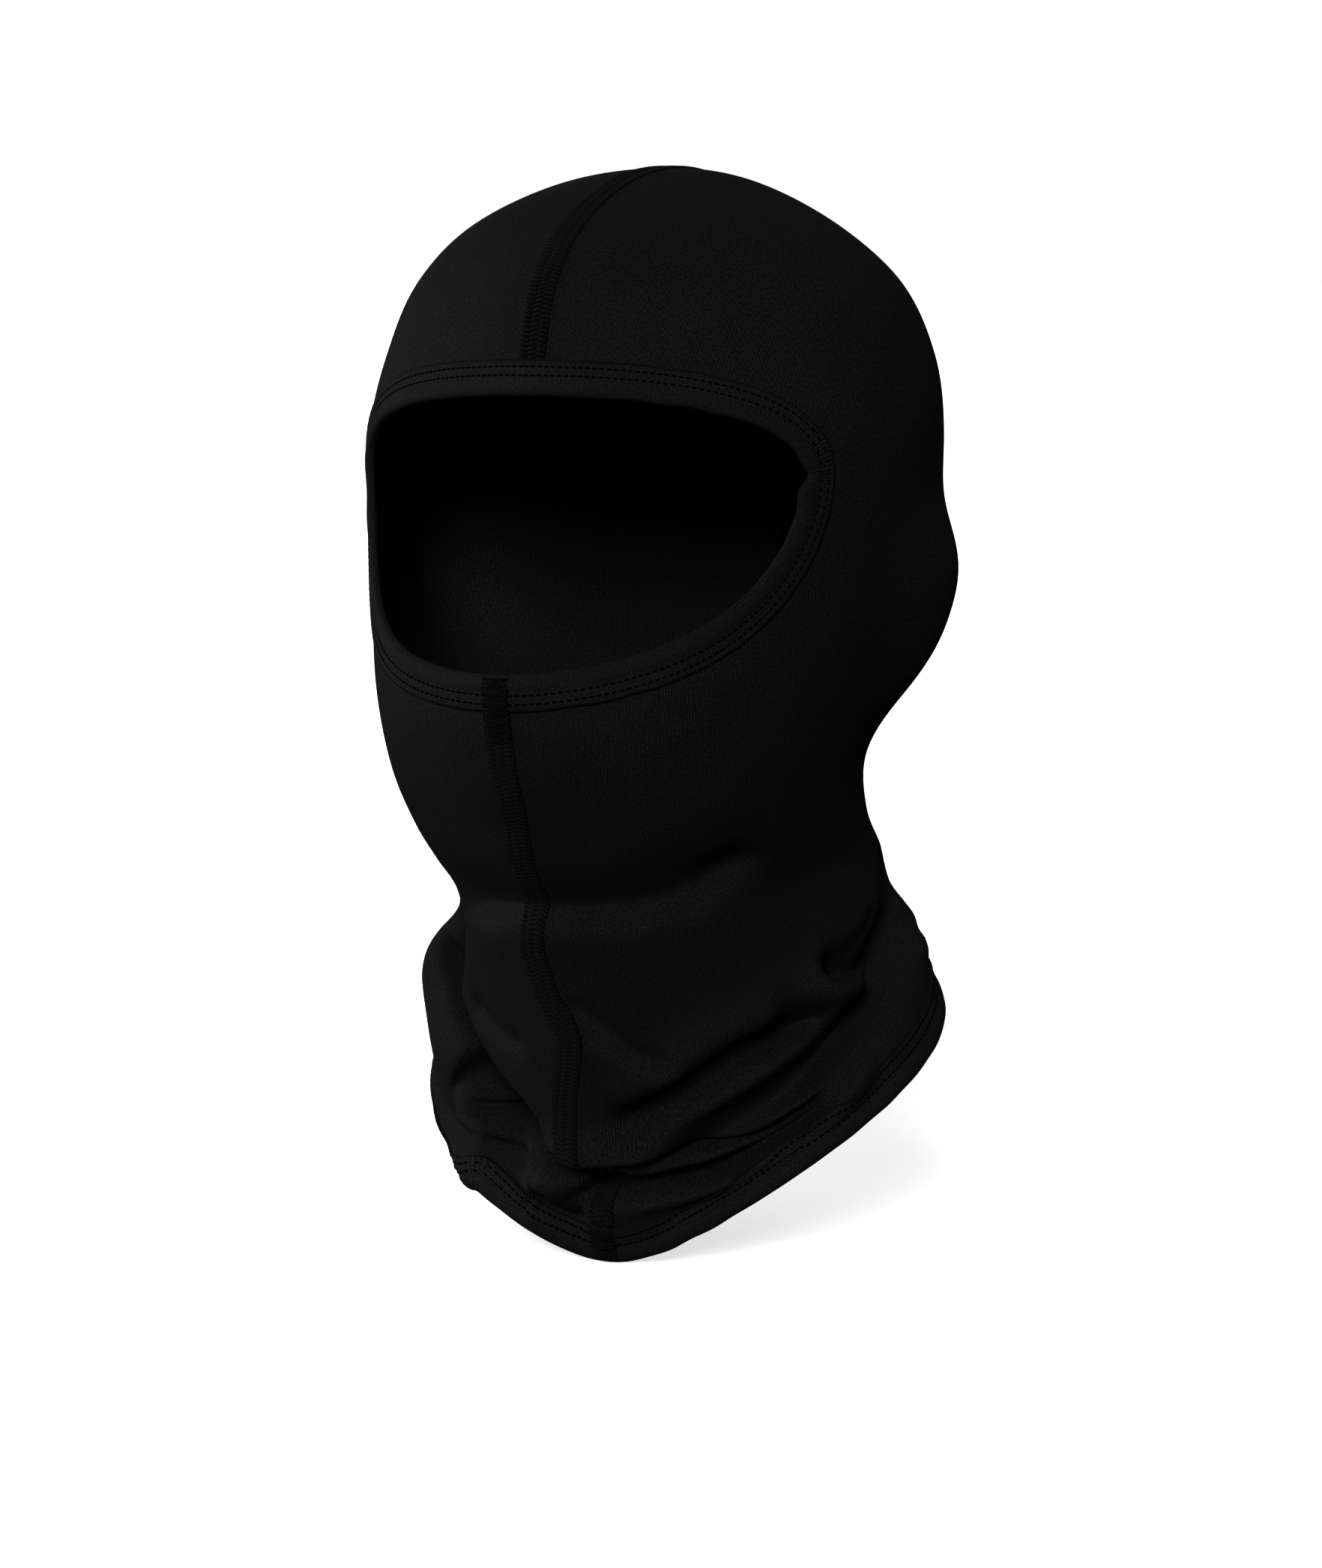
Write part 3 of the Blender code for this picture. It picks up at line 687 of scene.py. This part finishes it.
def make_panel(name, skin, columns, flat, look):
    """One half of the hood: an outer and an inner face joined along the cut edges."""
    points, normals = skin.points[:, columns], skin.normals[:, columns]
    count = points.shape[:2]
    row, column = np.meshgrid(skin.rows, skin.columns[columns], indexing="ij")
    rest = hood(row, column)
    keep = (opening_radius(column, rest[..., 2], 1.2 * MM) > 1) | (row > 10)
    keep &= row < HEM_ROW - 0.04
    quads = grid_quads(count)
    quads = quads[keep.ravel()[quads].all(1)]
    used, quads = np.unique(quads, return_inverse=True)
    quads = quads.reshape(-1, 4)
    middle, normal = points.reshape(-1, 3)[used], normals.reshape(-1, 3)[used]
    total = len(used)
    edges = np.concatenate([quads[:, [k, (k + 1) % 4]] for k in range(4)])
    codes = edges.min(1) * total + edges.max(1)
    _, first, uses = np.unique(codes, return_index=True, return_counts=True)
    rim = edges[first[uses == 1]]
    sides = np.stack([rim[:, 1], rim[:, 0], rim[:, 0] + total, rim[:, 1] + total], -1)
    faces = np.vstack([quads, quads[:, ::-1] + total, sides])
    both = np.vstack([middle + normal * FABRIC / 2, middle - normal * FABRIC / 2])
    piece = new_mesh(name, both, faces, look)
    chart = flat.reshape(-1, 2)[used]
    set_uv(piece, "knit", np.vstack([chart, chart]))
    return piece


# ---------------------------------------------------------------- edges and paths

def opening_course(count):
    """Rows and angles round the face opening from the middle of its lower edge."""
    heights = np.linspace(0, HEM_ROW, 1500)
    fronts = hood(heights, np.zeros_like(heights))[:, 2]
    course = []
    for step in range(count):
        turn = 2 * math.pi * step / count
        side, rise = math.sin(turn), -math.cos(turn)
        power = SQUARENESS_UP if rise > 0 else SQUARENESS_DOWN
        reach = OPENING_UP if rise > 0 else OPENING_DOWN
        angle = OPENING_HALF_ANGLE * math.copysign(abs(side) ** (2 / power), side)
        height = OPENING_LEVEL + reach * math.copysign(abs(rise) ** (2 / power), rise)
        course.append((float(np.interp(-height, -fronts, heights)), angle))
    return course


def even_points(points, spacing, closed):
    """A polyline resampled to even steps near a spacing; gives the points."""
    points = np.asarray(points)
    if closed:
        points = np.vstack([points, points[:1]])
    length = np.concatenate([[0], np.cumsum(np.linalg.norm(np.diff(points, axis=0), axis=1))])
    count = max(int(round(length[-1] / spacing)), 2)
    stations = np.linspace(0, length[-1], count, endpoint=not closed)
    even = np.stack([np.interp(stations, length, points[:, axis]) for axis in range(3)], -1)
    return even, length[-1] / (count if closed else count - 1)


def tangents(points, closed):
    if closed:
        return unit(np.roll(points, -1, 0) - np.roll(points, 1, 0))
    return unit(np.gradient(points, axis=0))


def softened(values, passes, closed=True):
    """A row of vectors smoothed along its length."""
    for _ in range(passes):
        if closed:
            values = (np.roll(values, 1, 0) + 2 * values + np.roll(values, -1, 0)) / 4
        else:
            inner = (values[:-2] + 2 * values[1:-1] + values[2:]) / 4
            values = np.vstack([values[:1], inner, values[-1:]])
    return values


class Edge:
    """A bound edge: even points along it, and the fabric's points and normals beside it."""

    DISTANCES = np.array([0, 0.8, 2.0, 3.5, 5.0, 6.3, 7.6, 8.8, 9.5, 9.8]) * MM

    def __init__(self, skin, course, spacing, side):
        raw = np.array([skin.at(row, angle)[0] for row, angle in course])
        self.points, self.step = even_points(raw, spacing, True)
        self.tangents = softened(tangents(self.points, True), 6)
        self.tangents = unit(self.tangents)
        normals = np.array([skin.nearest(point)[1] for point in self.points])
        normals = unit(softened(normals, 6))
        self.away = unit(np.cross(normals, self.tangents)) * side
        places, lifts = [], []
        for point, away in zip(self.points, self.away):
            found = skin.walk(point, away, self.DISTANCES)
            places.append([place for place, _ in found])
            lifts.append([normal for _, normal in found])
        self.places = softened(np.array(places), 2)
        self.lifts = unit(softened(np.array(lifts), 4))

    def at(self, distance, height):
        """Points along the whole edge, at a distance into the fabric and a height off it."""
        distance = np.broadcast_to(np.asarray(distance, float), (len(self.points),))
        height = np.broadcast_to(np.asarray(height, float), (len(self.points),))
        station = np.clip(distance, 0, self.DISTANCES[-1])
        first = np.searchsorted(self.DISTANCES, station, side="right") - 1
        first = np.clip(first, 0, len(self.DISTANCES) - 2)
        share = (station - self.DISTANCES[first]) / (self.DISTANCES[first + 1] - self.DISTANCES[first])
        which = np.arange(len(self.points))
        place = (self.places[which, first] * (1 - share[:, None])
                 + self.places[which, first + 1] * share[:, None])
        lift = (self.lifts[which, first] * (1 - share[:, None])
                + self.lifts[which, first + 1] * share[:, None])
        over = np.minimum(distance, 0)[:, None] * self.away
        return place + over + height[:, None] * unit(lift)


OUTER_FOLD = [(9.8, 0.5), (9.75, 1.1), (9.1, 1.35), (7.6, 0.8), (6.3, 1.3), (5.0, 0.8), (3.6, 1.4),
              (2.0, 1.55), (0.7, 1.5), (-0.3, 1.3), (-1.0, 0.8), (-1.3, 0.0), (-1.0, -0.8), (-0.3, -1.2),
              (0.7, -1.35), (2.0, -1.35), (3.6, -1.2), (5.0, -0.95), (6.3, -1.15), (7.6, -0.95),
              (9.0, -1.15), (9.7, -0.95), (9.8, -0.65)]
INNER_FOLD = [(9.7, -0.45), (7.6, -0.45), (5.0, -0.45), (2.0, -0.8), (0.0, -0.7), (-0.7, 0.0), (0.0, 0.75),
              (2.0, 1.0), (5.0, 0.45), (7.6, 0.45), (9.7, 0.45)]
PINCH_PLACE = (5.46, math.radians(52.8))
STITCH_PITCH = 2.1 * MM
# The two stitch rows' distances in from the bound edge, in metres.
STITCH_DISTANCES = (5.0 * MM, 7.6 * MM)


def ripple(count, step, seeds, wavelength, size):
    """A gentle unevenness round a closed edge."""
    length = count * step
    place = np.arange(count) * step
    total = np.zeros(count)
    for seed in seeds:
        turns = round(length / wavelength * (0.7 + 0.6 * ((seed * 0.618) % 1)))
        total += np.sin(2 * math.pi * (turns * place / length + (seed * 0.377) % 1))
    return total * size / math.sqrt(len(seeds))


def corner_pinch(edge, place):
    """Where the tape's lip is pinched in at one place, with a small bump before it, in mm."""
    nearest = np.linalg.norm(edge.points - place, axis=1).argmin()
    along = (np.arange(len(edge.points)) - nearest) * edge.step / MM
    return 1.9 * np.exp(-(along / 2.4) ** 2) - 1.0 * np.exp(-((along + 5.5) / 3.2) ** 2)


def make_binding(name, edge, look, pinch=0.0):
    """The tape folded over an edge, dimpled along its two rows of stitches."""
    count = len(edge.points)
    place = np.arange(count) * edge.step
    dimple = 0.5 + 0.5 * np.cos(2 * math.pi * place / STITCH_PITCH)
    waver = ripple(count, edge.step, (1, 2, 3, 4, 5), 17 * MM, 0.09)
    sections, chart = [], []
    around = 0.0
    before = None
    for distance, height in OUTER_FOLD + INNER_FOLD:
        on_row = abs(distance - 5.0) < 0.1 or abs(distance - 7.6) < 0.1
        dip = 0.12 * (1 - dimple) if on_row else 0.05 * dimple * (distance > 4)
        swell = 1 + 0.5 * waver * (distance < 4) * (abs(height) > 0.9)
        heights = (height * swell - math.copysign(1, height) * dip) * MM
        distances = (distance + waver * (distance < 1 or distance > 9)) * MM
        distances = distances + pinch * min(max(1 - distance / 4, 0), 1) * MM
        sections.append(edge.at(distances, np.broadcast_to(heights, (count,))))
        if before is not None:
            around += math.hypot(distance - before[0], height - before[1]) * MM
        before = (distance, height)
        chart.append(np.stack([place, np.full(count, around)], -1))
    sections = np.stack(sections, 1)
    points, faces = swept(sections, True)
    piece = new_mesh(name, points, faces, look)
    set_uv(piece, "tape", np.stack(chart, 1).reshape(-1, 2))
    return piece


def capsule(length, radius, flatness=1.0, rings=7, sides=6):
    """A short round-ended stitch along X."""
    points = []
    for ring in range(rings):
        t = -1 + 2 * (ring + 0.25) / (rings - 0.5)
        thick = radius * math.sqrt(max(1 - abs(t) ** 3, 0.02))
        for side in range(sides):
            turn = 2 * math.pi * side / sides
            points.append((t * length / 2, thick * math.cos(turn), flatness * thick * math.sin(turn)))
    _, faces = swept(np.array(points).reshape(rings, sides, 3), False)
    return np.array(points), faces


def copies(template, origins, alongs, sides, lifts):
    """A template placed at every frame, as one set of points and faces."""
    shape, faces = template
    points = (origins[:, None] + shape[None, :, 0:1] * alongs[:, None] + shape[None, :, 1:2] * sides[:, None]
              + shape[None, :, 2:3] * lifts[:, None]).reshape(-1, 3)
    total = []
    for copy in range(len(origins)):
        start = copy * len(shape)
        total.extend([corner + start for corner in face] for face in faces)
    return points, total


def joined(parts):
    """Several sets of points and faces as one."""
    points, faces, start = [], [], 0
    for part_points, part_faces in parts:
        points.append(np.asarray(part_points))
        faces.extend([int(corner) + start for corner in face] for face in part_faces)
        start += len(part_points)
    return np.vstack(points), faces


def tube(path, radius, sides=6):
    """A round thread along a path of points."""
    path = np.asarray(path)
    along = unit(np.gradient(path, axis=0))
    up = np.array([0.0, 0.0, 1.0])
    side = np.cross(along, up)
    weak = np.linalg.norm(side, axis=1) < 0.2
    side[weak] = np.cross(along[weak], np.array([0.0, 1.0, 0.0]))
    side = unit(side)
    lift = np.cross(side, along)
    turns = np.linspace(0, 2 * math.pi, sides, endpoint=False)
    circle = (side[:, None] * np.cos(turns)[None, :, None] + lift[:, None] * np.sin(turns)[None, :, None])
    return swept(path[:, None] + radius * circle, False)


def make_stitch_row(name, edge, distance, look):
    """One row of short stitches round a binding."""
    places = edge.at(distance, 0.82 * MM)
    lifts = unit(edge.at(distance, 2 * MM) - places)
    spacing = int(round(STITCH_PITCH / edge.step))
    picked = np.arange(0, len(places) - spacing // 2, spacing)
    along = tangents(places, True)
    sides = unit(np.cross(lifts, along))
    template = capsule(1.55 * MM, 0.36 * MM, 0.6)
    origins = places[picked] + 0.02 * MM * lifts[picked]
    points, faces = copies(template, origins, along[picked], sides[picked], lifts[picked])
    return new_mesh(name, points, faces, look)


def make_looper(name, edge, look):
    """The looper thread inside a binding: a zigzag from one stitch row to the other."""
    low, high = STITCH_DISTANCES
    spacing = int(round(STITCH_PITCH / edge.step / 2))
    picked = np.arange(0, len(edge.points), spacing)
    path = []
    for turn, which in enumerate(picked):
        distance = (low, high)[turn % 2]
        path.append(edge.at(distance, -1.2 * MM)[which])
    fine, _ = even_points(path, 0.6 * MM, False)
    points, faces = tube(fine, 0.22 * MM, 5)
    return new_mesh(name, points, faces, look)


# ---------------------------------------------------------------- flat seams and tacks

class Track:
    """A line over the fabric with points beside it, for a flat seam or a tack."""

    OFFSETS = np.linspace(-4.4, 4.4, 17) * MM

    def __init__(self, skin, course, spacing, lift=0.0):
        raw = np.array([skin.at(row, angle)[0] for row, angle in course])
        self.points, self.step = even_points(raw, spacing, False)
        found = [skin.nearest(point) for point in self.points]
        normals = unit(softened(np.array([normal for _, normal in found]), 3, False))
        self.tangents = unit(softened(tangents(self.points, False), 3, False))
        self.sides = unit(np.cross(normals, self.tangents))
        places, lifts = [], []
        middle = len(self.OFFSETS) // 2
        for point, side in zip(self.points, self.sides):
            right = skin.walk(point, side, self.OFFSETS[middle:])
            left = skin.walk(point, -side, -self.OFFSETS[:middle][::-1])
            places.append([place for place, _ in left[::-1] + right])
            lifts.append([normal for _, normal in left[::-1] + right])
        self.places = softened(np.array(places), 2, False)
        self.lifts = unit(softened(np.array(lifts), 3, False))
        self.places = self.places + lift * self.lifts

    def at(self, stations, offsets, heights):
        """Points at stations along the track, offsets across it and heights off the fabric."""
        stations, offsets, heights = np.broadcast_arrays(
            *(np.asarray(value, float) for value in (stations, offsets, heights)))
        place = np.clip(stations / self.step, 0, len(self.points) - 1.001)
        first = place.astype(int)
        along = (place - first)[..., None]
        column = np.clip((offsets - self.OFFSETS[0]) / (self.OFFSETS[1] - self.OFFSETS[0]), 0,
                         len(self.OFFSETS) - 1.001)
        left = column.astype(int)
        across = (column - left)[..., None]
        found = []
        for grid in (self.places, self.lifts):
            near = grid[first, left] * (1 - across) + grid[first, left + 1] * across
            far = grid[first + 1, left] * (1 - across) + grid[first + 1, left + 1] * across
            found.append(near * (1 - along) + far * along)
        return found[0] + heights[..., None] * unit(found[1])

    @property
    def length(self):
        return self.step * (len(self.points) - 1)


NEEDLES = (-3.8, -1.8, 1.0, 3.8)
TACK_REACH = 4.4 * MM
# The flat seam's padded section: across it and off the fabric, in millimetres.
COVER_SECTION = [(-4.4, 0.1), (-4.2, 0.62), (-3.8, 0.55), (-3.3, 0.85), (-2.6, 0.9), (-1.8, 0.6),
                 (-1.1, 0.95), (-0.4, 1.0), (0.4, 0.9), (1.0, 0.6), (1.7, 0.9), (2.4, 1.0),
                 (3.2, 0.9), (3.8, 0.55), (4.2, 0.62), (4.4, 0.1), (2.0, -0.1), (-2.0, -0.1)]


def band(track, section, face=1.0, lift=0.0):
    """The padded strip of a flat seam, with its chart."""
    count = len(track.points)
    stations = np.arange(count) * track.step
    rings, chart = [], []
    for offset, height in section:
        rings.append(track.at(stations, offset * MM, face * (height * MM + lift)))
        chart.append(np.stack([np.full(count, offset * MM), stations], -1))
    points, faces = swept(np.stack(rings, 1), False)
    return points, faces, np.stack(chart, 1).reshape(-1, 2)


def needle_beads(track, pitch, offsets, height, radius, face=1.0):
    """The needle threads of a flat seam: a row of beads for each needle."""
    template = capsule(pitch * 0.82, radius, 0.9, 6, 6)
    parts = []
    for order, offset in enumerate(offsets):
        stations = np.arange(pitch * (0.5 + 0.2 * order), track.length - pitch * 0.4, pitch)
        waver = 0.07 * MM * np.sin(stations * 1900 + order * 2.1)
        here = track.at(stations, offset * MM + waver, face * height)
        ahead = track.at(stations + 0.3 * MM, offset * MM + waver, face * height)
        beside = track.at(stations, offset * MM + 0.4 * MM + waver, face * height)
        along = unit(ahead - here)
        side = unit(beside - here)
        lift = unit(np.cross(along, side))
        parts.append(copies(template, here, along, side, lift))
    return joined(parts)


def cross_threads(track, pitch, offsets, height, radius, face=1.0):
    """The covering thread that crosses between the needles, as short slanted strands."""
    parts = []
    template_rings = 5
    for order, (left, right) in enumerate(zip(offsets, offsets[1:])):
        stations = np.arange(pitch * 0.4, track.length - pitch, pitch)
        for lean, share in ((0.55, 0.0), (-0.35, 0.5)):
            rows = []
            for ring in range(template_rings):
                t = ring / (template_rings - 1)
                offset = (left + (right - left) * (0.06 + 0.88 * t)) * MM
                crown = height + 0.22 * MM * math.sin(math.pi * t)
                shifted = stations + pitch * (share + lean * t * (-1) ** order)
                rows.append(track.at(shifted, offset, face * crown))
            rows = np.stack(rows, 1)
            along = unit(np.gradient(rows, axis=1))
            lift = face * unit(track.at(stations, 0.0, 2 * MM) - track.at(stations, 0.0, 0.0))[:, None]
            side = unit(np.cross(lift, along))
            turns = np.linspace(0, 2 * math.pi, 5, endpoint=False)
            circle = (side[:, :, None] * np.cos(turns)[:, None] + lift[:, :, None] * np.sin(turns)[:, None])
            rings = rows[:, :, None] + radius * circle
            for strand in rings:
                parts.append(swept(strand, False))
    return joined(parts)


def make_seam(name, track, strip, thread):
    """A flat seam's outside: the padded strip, its needle threads and the strands across it."""
    points, faces, chart = band(track, COVER_SECTION)
    piece = new_mesh(name, points, faces, strip)
    set_uv(piece, "seam", chart)
    beads = needle_beads(track, 1.45 * MM, NEEDLES, 0.68 * MM, 0.27 * MM)
    strands = cross_threads(track, 1.45 * MM, NEEDLES, 0.74 * MM, 0.13 * MM)
    points, faces = joined([beads, strands])
    threads = new_mesh(name + "_strands", points, faces, thread)
    return piece, threads


def make_under_seam(name, track, strip):
    """A flat seam's inside: looper thread in a narrow ladder."""
    section = [(-3.4, 0.1), (-3.2, 0.6), (-1.8, 0.55), (-0.4, 0.8), (1.0, 0.55), (2.4, 0.8), (3.2, 0.55),
               (3.4, 0.1), (0.0, -0.1)]
    points, faces, chart = band(track, section, -1.0)
    piece = new_mesh(name, points, [face[::-1] for face in faces], strip)
    set_uv(piece, "seam", chart)
    return piece


def make_tack(name, track, start, end, height, look, seed):
    """A bar tack: untidy crossing stitches packed over a strip, proud of the binding."""
    generator = np.random.default_rng(seed)
    parts = []
    layers = ((0.62 * MM, 0.4 * MM, 0.88, 0.0), (0.95 * MM, 1.6 * MM, 0.5, 0.25 * MM),
              (1.3 * MM, 2.6 * MM, 0.15, 0.45 * MM))
    for pitch, wander, least, extra in layers:
        station = np.linspace(start, end, 2 * int((end - start) / pitch))
        order = np.arange(len(station))
        share = least + (1 - least) * generator.random(len(station))
        offset = TACK_REACH * share * np.where(order % 2, 1, -1)
        station = np.clip(station + wander * (generator.random(len(station)) - 0.5), start, end)
        fine = np.linspace(0, len(order) - 1, (len(order) - 1) * 6 + 1)
        station = np.interp(fine, order, station)
        offset = np.interp(fine, order, offset)
        bow = 0.18 * MM * np.cos(offset / TACK_REACH * math.pi / 2)
        sunk = 0.75 * MM * smooth_step(station, 9.5 * MM, 11 * MM)
        line = track.at(station, offset, height + extra + bow - sunk)
        parts.append(tube(line, 0.19 * MM, 5))
    points, faces = joined(parts)
    return new_mesh(name, points, faces, look)


def make_label(name, skin, width, length, look):
    """The care label: a strip of satin with a slight wave, lying against the hood's inside."""
    rows = np.linspace(0, length, 25)
    columns = np.linspace(-width / 2, width / 2, 15)
    low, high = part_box("care_label")
    middle = (np.array(low) + np.array(high)) / 2
    depth = float(high[1] - low[1])
    points, faces = [], []
    for layer in (0, 1):
        for row in rows:
            for column in columns:
                bend = 0.25 * math.sin(row / length * 4.0) + 0.15 * math.sin(column / width * 5.0)
                y = low[1] + 0.35 * depth + bend * 0.2 * depth + layer * 0.3 * MM
                point = np.array((middle[0] + column, y, high[2] - row * (high[2] - low[2]) / length))
                place, normal = skin.nearest(point)
                gap = (1.6 - 0.3 * layer) * MM + (point - place) @ normal
                points.append(point - max(gap, 0) * normal)
    across, total = len(columns), len(rows) * len(columns)
    for row in range(len(rows) - 1):
        for column in range(across - 1):
            a = row * across + column
            quad = (a, a + across, a + across + 1, a + 1)
            faces.append(quad)
            faces.append(tuple(corner + total for corner in reversed(quad)))
    rim = list(range(across)) + [row * across + across - 1 for row in range(1, len(rows))]
    rim += [total - 1 - step for step in range(1, across)]
    rim += [row * across for row in range(len(rows) - 2, 0, -1)]
    for start, end in zip(rim, rim[1:] + rim[:1]):
        faces.append((start, end, end + total, start + total))
    return new_mesh(name, points, faces, look)


# ---------------------------------------------------------------- the stage

def around(azimuth, elevation):
    """A direction from the object: degrees towards the wearer's left from the front, and up."""
    azimuth, elevation = math.radians(azimuth), math.radians(elevation)
    return (math.sin(azimuth) * math.cos(elevation), -math.cos(azimuth) * math.cos(elevation),
            math.sin(elevation))


def sun_light(name, from_point, strength, spread):
    """A wide soft light from one direction."""
    data = bpy.data.lights.new(name, "SUN")
    data.energy = strength
    data.angle = math.radians(spread)
    light = bpy.data.objects.new(name, data)
    bpy.context.scene.collection.objects.link(light)
    light.rotation_mode = "QUATERNION"
    light.rotation_quaternion = (-Vector(from_point)).to_track_quat("-Z", "Y")
    return light


def make_world():
    """A white backdrop; its light on the object is dim, and dimmer from below."""
    world = bpy.data.worlds.new("studio")
    world.use_nodes = True
    tree = world.node_tree
    background = tree.nodes["Background"]
    background.inputs["Color"].default_value = (1, 1, 1, 1)
    direction = tree.nodes.new("ShaderNodeTexCoord").outputs["Generated"]
    split = tree.nodes.new("ShaderNodeSeparateXYZ")
    tree.links.new(direction, split.inputs[0])
    rise = ramp(tree, split.outputs[2], (-0.3, 0.6), (WORLD_LOW, WORLD_HIGH))
    seen = tree.nodes.new("ShaderNodeLightPath").outputs["Is Camera Ray"]
    strength = maths(tree, "MAXIMUM", seen, rise)
    tree.links.new(strength, background.inputs["Strength"])
    bpy.context.scene.world = world


def make_stage(floor_height):
    mesh = bpy.data.meshes.new("floor")
    shape = bmesh.new()
    bmesh.ops.create_circle(shape, cap_ends=True, radius=30.0, segments=96)
    shape.to_mesh(mesh)
    shape.free()
    floor = bpy.data.objects.new("floor", mesh)
    floor.location = (0, 0, floor_height)
    bpy.context.scene.collection.objects.link(floor)
    mesh.materials.append(floor_finish())
    floor.visible_diffuse = False
    floor.visible_glossy = False
    make_world()
    view = bpy.context.scene.view_settings
    view.view_transform = "Standard"
    view.gamma = VIEW_GAMMA
    sun_light("left", around(-83, 8), 2.3, 20)
    sun_light("front", around(16, 20), 3.6, 20)
    # no glossy reflection from behind, which would draw a bright line along the outline
    behind = sun_light("behind", around(-155, 10), 3.6, 10)
    behind.visible_glossy = False


def make_camera():
    """The camera at the product shot's angle: a quarter to the wearer's left, slightly above."""
    azimuth, elevation, distance = math.radians(25), math.radians(5), 2.0
    target = Vector((0, 0, -0.065))
    back = Vector((math.sin(azimuth) * math.cos(elevation), -math.cos(azimuth) * math.cos(elevation),
                   math.sin(elevation)))
    data = bpy.data.cameras.new("camera")
    data.lens = 148
    data.sensor_width = 36
    camera = bpy.data.objects.new("camera", data)
    camera.location = target + back * distance
    camera.rotation_mode = "QUATERNION"
    camera.rotation_quaternion = (-back).to_track_quat("-Z", "Y")
    bpy.context.scene.collection.objects.link(camera)
    bpy.context.scene.camera = camera


# ---------------------------------------------------------------- the balaclava

def main():
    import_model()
    knit, tape, thread = knit_finish(), tape_finish(), thread_finish("black_thread", 1.0)
    # the binding's stitch dashes use the thread painted nearly black: painted shade of the dimples they sit
    # in
    sunk, dark_thread = thread_finish("sunk_thread_painted_shade", 0.06), thread_finish("tack_thread", 0.6)
    # one seam thread painted two ways: darker on the crown seam (painted shade) and lighter on the front
    # seam (painted light)
    crown_ladder, front_ladder = ladder_finish("crown_ladder", 0.55), ladder_finish("front_ladder", 1.3)
    satin = satin_finish()

    rows, columns, points = fabric_surface()
    skin = Skin(rows, columns, points)
    flat = flat_pattern(rows, columns[HALF_COLUMNS:])
    left = make_panel("hood_left_panel", skin, slice(HALF_COLUMNS, None), flat, knit)
    mirrored = flat[:, ::-1] * np.array([-1, 1])
    right = make_panel("hood_right_panel", skin, slice(0, HALF_COLUMNS + 1), mirrored, knit)
    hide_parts("left_panel")
    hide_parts("right_panel")

    spacing = STITCH_PITCH / 6
    face = Edge(skin, opening_course(900), spacing, -1)
    hem = Edge(skin, [(float(HEM_ROW), 2 * math.pi * step / 900) for step in range(900)], spacing, 1)
    corner = skin.at(*PINCH_PLACE)[0]
    pinches = {"face": corner_pinch(face, corner), "hem": 0.0}
    tapes, trims = [], {left: [], right: []}
    for part, edge, names in (("face", face, ("inner", "outer")), ("hem", hem, ("lower", "upper"))):
        tape_piece = make_binding(part + "_binding_tape", edge, tape, pinches[part])
        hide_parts(part + "_binding")
        tapes.append(tape_piece)
        for row_name, distance in zip(names, STITCH_DISTANCES):
            name = part + "_stitch_row_" + row_name
            row_piece = make_stitch_row(name + "_thread", edge, distance, sunk)
            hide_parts(name)
            trims[left].append(row_piece)
        looper = make_looper(part + "_looper_strand", edge, thread)
        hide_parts(part + "_looper_thread")
        trims[left].append(looper)

    brow_row = opening_course(900)[450][0]
    chin_row = opening_course(900)[0][0]
    over_crown = [(row, 0.0) for row in np.linspace(brow_row - 0.33, 0.06, 120)]
    over_crown += [(row, math.pi) for row in np.linspace(0.06, HEM_ROW - 0.8, 400)]
    down_front = [(row, 0.0) for row in np.linspace(chin_row + 0.33, HEM_ROW - 0.33, 500)]
    seams = (("crown_seam", over_crown, crown_ladder), ("front_seam", down_front, front_ladder))
    for part, course, ladder in seams:
        track = Track(skin, course, 0.45 * MM)
        strip, strands = make_seam(part + "_cover", track, ladder, thread)
        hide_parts(part + "_cover_thread")
        under = make_under_seam(part + "_under", track, ladder)
        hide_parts(part + "_under_thread")
        trims[right] += [strip, strands, under]
        if part == "crown_seam":
            label = make_label("care_label_satin", skin, 20 * MM, 30 * MM, satin)
            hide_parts("care_label")

    tape_course = [(row, 0.0) for row in np.linspace(chin_row, chin_row + 1.0, 60)]
    track = Track(skin, tape_course, 0.45 * MM)
    tack = make_tack("chin_bar_tack_thread", track, -0.8 * MM, 19 * MM, 1.55 * MM, dark_thread, 4)
    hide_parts("chin_bar_tack")
    trims[left].append(tack)
    hem_course = [(row, 0.0) for row in np.linspace(HEM_ROW, HEM_ROW - 1.0, 60)]
    track = Track(skin, hem_course, 0.45 * MM)
    tack = make_tack("front_hem_bar_tack_thread", track, 0.0, 10.5 * MM, 1.55 * MM, dark_thread, 5)
    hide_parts("front_hem_bar_tack")
    trims[left].append(tack)

    low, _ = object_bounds()
    make_stage(low[2])
    make_camera()


main()
